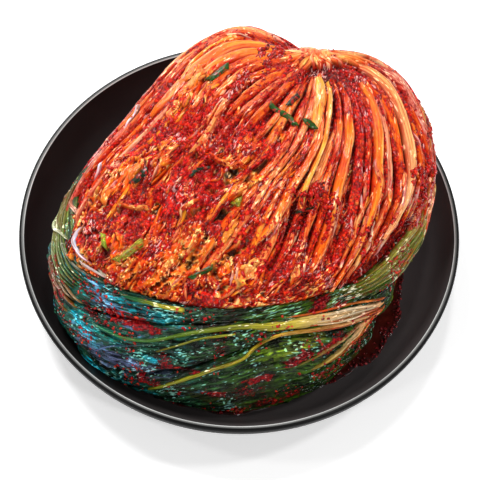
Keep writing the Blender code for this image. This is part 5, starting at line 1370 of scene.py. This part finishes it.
# painted shade: the seasoning is painted near black in the hollows and behind the turned edges
pcol = with_stain(pcol * (1 - 0.85 * hole)[:, None], np.clip(stain, 0, 1) * (1 - step(hole, 0.3, 0.8)))
sheet = Bag()
i, k = np.meshgrid(np.arange(GRID - 1), np.arange(GRID - 1), indexing="ij")
aa = i * GRID + k
faces = np.stack([aa, aa + GRID, aa + GRID + 1, aa + 1], -1).reshape(-1, 4)
border = np.concatenate([np.arange(GRID) * GRID, (GRID - 1) * GRID + np.arange(1, GRID), (np.arange(GRID - 2, -1, -1)) * GRID + GRID - 1, np.arange(GRID - 2, 0, -1)])
loop = surf[border]
inner = loop.copy()
inner[:, :2] = CENTRE + (loop[:, :2] - CENTRE) * 0.6
inner[:, 2] = inside_z(np.hypot(inner[:, 0], inner[:, 1])) + SEAT
nb, N0 = len(border), len(surf)
kk = np.arange(nb)
wall = np.stack([border, border[(kk + 1) % nb], N0 + (kk + 1) % nb, N0 + kk], -1)
bottom = np.stack([np.full(nb, N0 + nb), N0 + kk, N0 + (kk + 1) % nb], -1)
g = np.stack([x, y, np.zeros(len(Q))], -1)
# painted shade: the seasoning is darker between its lumps and in the gaps between ribs, with a random tone over it; its
# hidden underside is painted near black
sheet.add(np.concatenate([surf, inner, [[CENTRE[0], CENTRE[1], inside_z(np.hypot(*CENTRE)) + SEAT]]]), np.concatenate([pcol, np.zeros((nb + 1, 4)) + [0.02, 0.005, 0.005, 1]]), [faces, wall, bottom], np.concatenate([g, np.zeros((nb + 1, 3))]), np.concatenate([(0.45 + 0.85 * step(lumps + 0.5 * fbm(base_p * 240, 2, 77), -0.40, 0.50)) * gap_shade * (0.66 + 0.48 * step(fbm(base_p * 85, 3, 78), -0.30, 0.35)), np.ones(nb + 1)]))
sheet.object("seasoning", SHEET_MAT, ["cabbage_half"], "seasoned_leaf")
ribs.object("ribs", RIB_MAT, ["cabbage_half"], "seasoned_leaf")
core.object("core_stubs", RIB_MAT, ["cabbage_half"], "seasoned_leaf")
folds.object("folded_leaf", FRILL_MAT, ["cabbage_half"], "seasoned_leaf")
flaps.take(curls).object("leaf_scraps", FRILL_MAT, ["cabbage_half"], "seasoned_leaf")
frills.object("frills", FRILL_MAT, ["cabbage_half"], "seasoned_leaf")
stems.object("outer_stems", RIB_MAT, ["cabbage_half"], "seasoned_leaf")
leafA.object("green_leaf_upper", GREEN_MAT, ["leaf_upper"], "green_leaf")
leafB.object("green_leaf_middle", GREEN_MAT, ["leaf_middle"], "green_leaf")
leafC.object("green_leaf_lower", GREEN_MAT, ["leaf_lower"], "green_leaf")
midribs.object("midribs", STEM_MAT, ["leaf_middle", "leaf_lower", "leaf_upper"], "green_leaf")
curl.object("curled_leaf", GREEN_MAT, ["leaf_upper"], "green_leaf")

# =====================================================================================================
# one tree over all the food, for what lies on top
# =====================================================================================================
top_tree = Bag().take(sheet, ribs, core, folds, flaps, frills, stems, leafA, leafB, leafC, midribs, curl).tree()


def land(q):
    """Top points and normals of the food at disc addresses q (n, 2)."""
    p, nn = dome(q[:, 0], q[:, 1]), normal(q[:, 0], q[:, 1])
    hit_p, hit_n = p.copy(), nn.copy()
    for i in range(len(q)):
        hit = top_tree.ray_cast(Vector(p[i] + nn[i] * TOP), Vector(-nn[i]), TOP + 8 * MM)
        if hit[0] is not None:
            hit_p[i], hit_n[i] = hit[0], hit[1]
    return hit_p, hit_n, nn


# thin torn strips of leaf lying on top, along the fan
strips = Bag()
STRIPS = [PEACH, PALE, ORANGE, AMBER, srgb(246, 180, 110), srgb(240, 140, 60), PINKW]
made, tries = 0, 0
while made < 150 and tries < 6000:
    tries += 1
    a, s = rng.uniform(0.04, 0.97), rng.uniform(0.20, 1.02)
    ripple = float(crumple_zone(np.array(a), np.array(s)))
    want = 0.55 * ripple + 0.9 * float(step(np.array(s), 0.38, 0.6) * step(np.array(a), 0.44, 0.56))
    if rng.uniform() > want:
        continue
    q = fan(np.array([a]), np.array([s]))[0]
    hd = heading_at(a, s) + rng.normal(0, 0.30 if ripple > 0.5 else 0.14)
    length = rng.uniform(8, 20) if ripple > 0.5 else rng.uniform(14, 34)
    bend = rng.normal(0, 0.6 if ripple > 0.5 else 0.25)
    ts = np.linspace(-0.5, 0.5, 5)
    hs = hd + bend * ts + rng.normal(0, 0.10, 5)
    pts = q + np.cumsum(np.stack([np.cos(hs), np.sin(hs)], -1) * (length * MM / reach(q, hd) / 4), 0)
    pts -= (pts[2] - q)
    if not on_cut(pts, 0.0).all() or hollow(pts).max() > 0.45:
        continue
    w = rng.uniform(0.9, 2.0) if ripple > 0.5 else rng.uniform(1.2, 3.0)
    body, rim = STRIPS[rng.integers(7)], STRIPS[rng.integers(7)]
    ribbon(strips, pts, (0.5 * w, w, 0.4 * w), rng.uniform(0.5, 1.0), fade((0, BRIGHT), (0.3, body), (0.6, rim), (1, BRIGHT)), rng.uniform(0.26, 0.48), 400 + made, base_lift=-0.1, sink=-0.8, on=top_tree, ends=(0.3, 0.3), wob=0.5, groove=0.6, steps=5, step_mm=1.15)
    made += 1
FLANK = [srgb(226, 150, 96), srgb(206, 180, 110), srgb(150, 140, 50), ORANGE, srgb(206, 84, 30), srgb(206, 160, 150), srgb(190, 50, 30), srgb(104, 112, 36)]
for j in range(64):
    right = j < 38
    if right:
        d0 = rng.uniform(-6, 52)
        d1 = d0 - rng.uniform(16, 34)
    else:
        d0 = rng.uniform(112, 168)
        d1 = d0 + rng.uniform(12, 26)
    r0 = rng.uniform(0.56, 0.74) if right else rng.uniform(0.57, 0.72)
    ds = np.linspace(d0, d1, 6)
    if right and (ds % 360 > 200).any() and d1 < -14:
        ds = np.linspace(d0, -14, 6)
    rr = r0 + rng.uniform(-0.02, 0.03) * np.linspace(0, 1, 6) + rng.normal(0, 0.003, 6)
    w = rng.uniform(1.3, 3.2)
    ribbon(strips, polar(ds, rr), (0.5 * w, w, 0.4 * w), rng.uniform(0.6, 1.2), fade((0, BRIGHT), (0.25, FLANK[rng.integers(8)]), (0.7, FLANK[rng.integers(8)]), (1, RED)), rng.uniform(0.24, 0.46), 700 + j, base_lift=-0.2 if right else -0.5, sink=-0.9, on=top_tree, ends=(0.25, 0.25), wob=0.5, groove=0.6, steps=5, step_mm=1.25)
# pale stem curled round the near left corner, and pale edges down the left rim
LEFT_EDGES = [
    ([(-0.369, -0.131), (-0.402, -0.138), (-0.416, -0.155), (-0.416, -0.174), (-0.395, -0.196), (-0.366, -0.211), (-0.337, -0.221)], (1.2, 2.8, 3.0, 2.2, 1.2), 1.6, srgb(222, 190, 190), COOL),
    ([(-0.403, -0.208), (-0.370, -0.223), (-0.331, -0.237), (-0.287, -0.253)], (1.0, 1.8, 1.4, 0.8), 1.1, srgb(190, 170, 150), srgb(214, 200, 190)),
    ([(-0.348, 0.352), (-0.372, 0.302), (-0.384, 0.241), (-0.401, 0.193), (-0.409, 0.141)], (1.0, 2.2, 2.0, 1.0), 1.1, srgb(224, 170, 160), COOL),
    ([(-0.416, 0.093), (-0.425, 0.058), (-0.414, 0.016), (-0.417, -0.020)], (1.0, 2.2, 1.6, 0.8), 1.1, srgb(216, 150, 140), COOL),
]
for j, (pts, widths, high, body, pale_) in enumerate(LEFT_EDGES):
    ribbon(strips, pts, widths, high, fade((0, BRIGHT), (0.15, body), (0.45, pale_), (0.75, body), (1, RED)), 0.14, 780 + j, base_lift=0.3, sink=-0.9, on=top_tree, ends=(0.2, 0.2), wob=0.3, groove=0.6, step_mm=0.7)
strips.object("torn_strips", RIB_MAT, ["cabbage_half"], "seasoned_leaf")
top_tree = Bag().take(sheet, ribs, core, folds, flaps, frills, stems, leafA, leafB, leafC, midribs, curl, strips).tree()

scallions = Bag()
SCALLIONS = [
    (-74, 268, 28, 0, 15.5, 4.3, 0), (78, 119, -62, -14, 20.5, 3.5, 0), (126, 88, -30, -60, 7.5, 3.8, 0), (104, 157, 50, -20, 9.5, 3.3, 1), (-238, -24, 52, -24, 11.5, 4.5, 1), (-86, -12, 30, -92, 14.0, 2.2, 1),
    (-231, -187, 33, 12, 18.5, 4.8, 2), (-303, -167, 116, 4, 10.0, 3.2, 3), (-81, -233, 30, 4, 14.0, 2.8, 0), (-10, -77, 20, 0, 4.6, 5.2, 2), (143, -106, 14, -10, 10.5, 2.8, 1),
]
TINTS = [srgb(26, 66, 16), srgb(12, 34, 16), srgb(124, 116, 26), srgb(124, 136, 30)]
for (u, v, heading, bend, length, width, kind) in SCALLIONS:
    n = 17
    q0 = np.array([u, v]) / 1000
    t = np.linspace(-0.5, 0.5, n)
    hd = np.radians(heading + bend * t)
    d = np.stack([np.cos(hd), np.sin(hd)], -1) * (length * MM / reach(q0, hd[8]) / (n - 1))
    q = q0 + np.cumsum(d, 0) - d[: n // 2 + 1].sum(0)
    pts, _, ups = land(q)
    hgt = ((pts - dome(q[:, 0], q[:, 1])) * ups).sum(1)
    fit = np.polyval(np.polyfit(t, hgt, 3), t)
    lift = max(0.0, np.percentile(hgt - fit, 70)) * 0.6
    base = dome(q[:, 0], q[:, 1]) + ups * (fit + lift + width * 0.16 * MM)[:, None]
    run = np.gradient(base, axis=0)
    run /= np.linalg.norm(run, axis=1, keepdims=True)
    side = np.cross(ups, run)
    m = 20
    an = np.arange(m) * 2 * np.pi / m
    w = width / 2 * MM * (1 - 0.16 * noise(np.stack([t * 5, np.full(n, u * 0.1)], -1), 71))
    crease = 1 + 0.10 * noise(np.stack([np.broadcast_to(np.cos(an) * 2, (n, m)), np.broadcast_to(np.sin(an) * 2, (n, m)), np.broadcast_to(t[:, None] * 3 + u, (n, m))], -1), 74)
    ring = base[:, None] + side[:, None] * (w[:, None] * np.cos(an) * crease)[..., None] + ups[:, None] * (w[:, None] * 0.50 * np.sin(an) * crease)[..., None]
    ring = ring + run[:, None] * (0.35 * width * MM * np.cos(an)[None, :] * (2 * t)[:, None])[..., None]
    body = TINTS[kind]
    cc = full(body, (n, m))
    # painted highlight: lighter streaks of the same green round the tube
    cc = mix(cc, full(body * 2.4 + 0.01, (n, m)), step(noise(np.stack([np.broadcast_to(an * 2.2, (n, m)), np.broadcast_to(t[:, None] * 2, (n, m)), np.full((n, m), u * 0.03)], -1), 72), 0.0, 0.5) * 0.7)
    cc = mix(cc, full(RED, (n, m)), step(fbm(ring * 260, 3, 73), 0.30, 0.45) * 0.7)
    inner = base[:, None] + (ring - base[:, None]) * 0.62
    prof = np.concatenate([ring, inner[::-1]])
    cols = with_stain(np.concatenate([cc, full(body * 2.6 + 0.02, (n, m))]), 0.0)
    nn_ = len(prof)
    i, k = np.meshgrid(np.arange(nn_), np.arange(m), indexing="ij")
    fa = np.stack([i * m + k, i * m + (k + 1) % m, ((i + 1) % nn_) * m + (k + 1) % m, ((i + 1) % nn_) * m + k], -1).reshape(-1, 4)
    scallions.add(prof.reshape(-1, 3), cols.reshape(-1, 4), [fa])
scallions.object("scallion_slices", SCALLION_MAT, [f"scallion_{i:02d}" for i in range(1, 12)], "scallion")

# pepper flakes and clots of seasoning
OCTA = np.array([(1, 0, 0), (0.5, 0.87, 0), (-0.5, 0.87, 0), (-1, 0, 0), (-0.5, -0.87, 0), (0.5, -0.87, 0), (0, 0, 1), (0, 0, -1)], float)
OF = np.array([(k, (k + 1) % 6, 6) for k in range(6)] + [((k + 1) % 6, k, 7) for k in range(6)])


def bits(bag, p, nn, size, tints, r, flat):
    n = len(p)
    z = nn + r.normal(0, 0.35, (n, 3))
    z /= np.linalg.norm(z, axis=1, keepdims=True)
    xx = np.cross(z, r.normal(size=(n, 3)))
    xx /= np.linalg.norm(xx, axis=1, keepdims=True)
    yy = np.cross(z, xx)
    sz = r.uniform(size[0], size[1], (n, 1, 1)) * MM / 2
    o = OCTA[None] * np.stack([r.uniform(1.0, 1.8, n), np.ones(n), flat * r.uniform(0.6, 1.4, n)], -1)[:, None] * (1 + r.uniform(-0.28, 0.28, (n, 8, 1)))
    v = p[:, None] + nn[:, None] * sz * 0.2 + (o[..., :1] * xx[:, None] + o[..., 1:2] * yy[:, None] + o[..., 2:] * z[:, None]) * sz
    c = np.array(tints)[r.integers(len(tints), size=n)] * r.uniform(0.7, 1.3, (n, 1))
    f = OF[None] + (np.arange(n) * 8)[:, None, None]
    bag.add(v.reshape(-1, 3), with_stain(np.repeat(c, 8, 0), 0.0), [f.reshape(-1, 3)])


def scatter(count, weight, size, tints, seed, bag, flat=0.5, limit=0.9):
    r = np.random.default_rng(seed)
    rho, th = np.sqrt(r.uniform(0, limit * limit, count * 9)), r.uniform(0, 2 * np.pi, count * 9)
    q = np.stack([rho * np.cos(th), rho * np.sin(th)], -1)
    q = q[r.uniform(size=len(q)) < weight(q)][:count]
    p, _, nn = land(q)
    bits(bag, p, nn, size, tints, r, flat)


def on_face(q):
    a, s, g = fan_of(q)
    t = seasoning(q, dome(q[:, 0], q[:, 1]), a, s, g)
    d = np.degrees(np.arctan2(q[:, 1], q[:, 0])) % 360
    return np.where(on_cut(q, 0.0) | (np.hypot(q[:, 0], q[:, 1]) > 0.6) & (np.hypot(q[:, 0], q[:, 1]) < seat_rho(d) - 0.01) & ~is_green(q), (0.025 + 0.9 * step(t, -0.6, 0.7)) * (1 - step(hollow(q), 0.2, 0.5)), 0)


def is_green(q):
    d = np.degrees(np.arctan2(q[:, 1], q[:, 0])) % 360
    d = np.where(d < 8, d + 360, d)
    return (d > 188) & (np.hypot(q[:, 0], q[:, 1]) > edge(CUT_EDGE, d))


def on_green(q):
    p = dome(q[:, 0], q[:, 1])
    d = np.degrees(np.arctan2(q[:, 1], q[:, 0])) % 360
    return np.where(is_green(q) & (np.hypot(q[:, 0], q[:, 1]) < seat_rho(d) - 0.01), 0.02 + step(fbm(p * 60, 3, 81), 0.05, 0.34), 0)


flakes, clots = Bag(), Bag()
scatter(3600, on_face, (0.7, 1.5), [srgb(186, 14, 18), RED, BRIGHT, srgb(214, 34, 24), srgb(236, 76, 26)], 5, flakes, flat=0.45)
scatter(2100, on_green, (0.5, 1.9), [srgb(160, 12, 14), srgb(120, 8, 12), srgb(186, 22, 16), srgb(206, 50, 22)], 6, flakes, flat=0.5)
scatter(1500, lambda q: on_face(q) ** 3, (1.6, 2.8), [RED, srgb(180, 12, 18), BRIGHT, srgb(216, 30, 22)], 7, clots, flat=0.5)
flakes.object("pepper_flakes", FLAKE_MAT, ["cabbage_half"], "seasoned_leaf")
clots.object("seasoning_clots", FLAKE_MAT, ["cabbage_half"], "seasoned_leaf")

# =====================================================================================================
# sauce on the dish
# =====================================================================================================
sauce_mat = wet("sauce", rough=0.22, coat=0.45, coat_rough=0.10, scale=260, tone=0.30, depth=0.12, spec=0.15)
sauce = Bag()
n, m = 170, 26
D = np.linspace(232, 352, n)
DD, WW = np.meshgrid(D, np.linspace(0, 1, m), indexing="ij")
wide = 3.5 + 13 * np.exp(-(((D - 318) / 19) ** 2)) + 2.6 * noise(np.stack([D / 7, np.zeros(n)], -1), 91) + 1.1 * noise(np.stack([D / 2.2, np.zeros(n)], -1), 92)
wide *= step(np.minimum(D - 232, 352 - D), 0, 12)
foot_q = polar(D, np.minimum(seat_rho(D), 0.96))
foot_p = dome(foot_q[:, 0], foot_q[:, 1])
ang = np.arctan2(foot_p[:, 1], foot_p[:, 0])
rad = (np.hypot(foot_p[:, 0], foot_p[:, 1]) - 9 * MM)[:, None] + ((wide + 9)[:, None] * WW) * MM
rad = np.minimum(rad, 0.1225)
thick = 0.50 * np.clip(1 - WW**2, 0, 1) ** 1.5 + 0.10 * noise(np.stack([DD / 3, WW * 6], -1), 93) * (1 - WW)
px, py = rad * np.cos(ang)[:, None], rad * np.sin(ang)[:, None]
upper = np.stack([px, py, inside_z(rad) + (0.04 + np.maximum(thick, 0)) * MM], -1)
lower = np.stack([px, py, inside_z(rad) + 0.02 * MM], -1)
sc = mix(full(srgb(58, 17, 11), (n, m)), full(srgb(78, 22, 16), (n, m)), step(noise(np.stack([DD / 3, WW * 5], -1), 94), -0.2, 0.5))
sc = mix(sc, full(srgb(52, 44, 44), (n, m)), step(WW + 0.12 * noise(np.stack([DD / 1.5, WW * 8], -1), 95), 0.80, 1.0) * 0.9)
sc = with_stain(sc, 0.0)
sauce.tube(np.concatenate([upper, lower[:, ::-1]], 1), np.concatenate([sc, sc[:, ::-1]], 1))
r = np.random.default_rng(9)
count = 260
dd = np.where(r.uniform(size=count) < 0.7, r.normal(322, 15, count), r.uniform(236, 348, count))
dd = np.clip(dd, 236, 349)
reach_out = np.interp(dd, D, wide)
ww = np.clip(r.beta(7.0, 1.6, count) + 0.04, 0, 1.02)
rr_ = np.minimum(np.interp(dd, D, np.hypot(foot_p[:, 0], foot_p[:, 1])) + (reach_out * ww - 0.5) * MM, 0.122)
aa_ = np.interp(dd, D, np.unwrap(ang))
spot_p = np.stack([rr_ * np.cos(aa_), rr_ * np.sin(aa_), inside_z(rr_) + 0.5 * MM], -1)
bits(sauce, spot_p, np.tile([0, 0, 1.0], (count, 1)), (0.6, 1.6), [srgb(104, 18, 22), srgb(84, 16, 20), srgb(128, 26, 30), srgb(150, 52, 54)], r, 0.5)
sauce.object("sauce", sauce_mat, (), "seasoned_leaf")

# =====================================================================================================
# stage: pale table, soft light
# =====================================================================================================
bpy.ops.mesh.primitive_plane_add(size=6, location=(0, 0, -0.0002))
floor = bpy.context.object
floor.name = "table"
fm = bpy.data.materials.new("table_white")
fm.use_nodes = True
fb = fm.node_tree.nodes["Principled BSDF"]
fb.inputs["Base Color"].default_value = (0.94, 0.94, 0.94, 1)
fb.inputs["Roughness"].default_value = 0.8
fb.inputs["Specular IOR Level"].default_value = 0.2
fb.inputs["Emission Color"].default_value = (1, 1, 1, 1)
fb.inputs["Emission Strength"].default_value = 0.36
floor.data.materials.append(fm)

world = bpy.data.worlds.new("studio")
bpy.context.scene.world = world
world.use_nodes = True
world.node_tree.nodes["Background"].inputs["Color"].default_value = (1.0, 1.0, 1.0, 1)
world.node_tree.nodes["Background"].inputs["Strength"].default_value = 0.15


def area(name, loc, size, power, colour=(1, 1, 1), target=(0, 0, 0.03)):
    d = bpy.data.lights.new(name, "AREA")
    d.shape, d.size, d.energy, d.color = "DISK", size, power, colour
    o = bpy.data.objects.new(name, d)
    o.location = loc
    o.rotation_euler = (Vector(target) - Vector(loc)).to_track_quat("-Z", "Y").to_euler()
    bpy.context.collection.objects.link(o)


area("key", (-0.70, 1.10, 1.60), 0.6, 30.5)
for name, azimuth, elevation, power in (("back", 80, 58, 6), ("right", 15, 48, 7), ("left", 175, 44, 3.5), ("front", 268, 28, 3.5), ("front_left", 222, 36, 3.5), ("front_right", 318, 46, 6.5)):
    az, el = math.radians(azimuth), math.radians(elevation)
    area(name, (1.8 * math.cos(el) * math.cos(az), 1.8 * math.cos(el) * math.sin(az), 1.8 * math.sin(el)), 0.22, power)

area("low_back", (-0.82, 1.54, 0.50), 0.7, 9)
scene = bpy.context.scene
scene.view_settings.view_transform = "Standard"
scene.view_settings.look = "None"
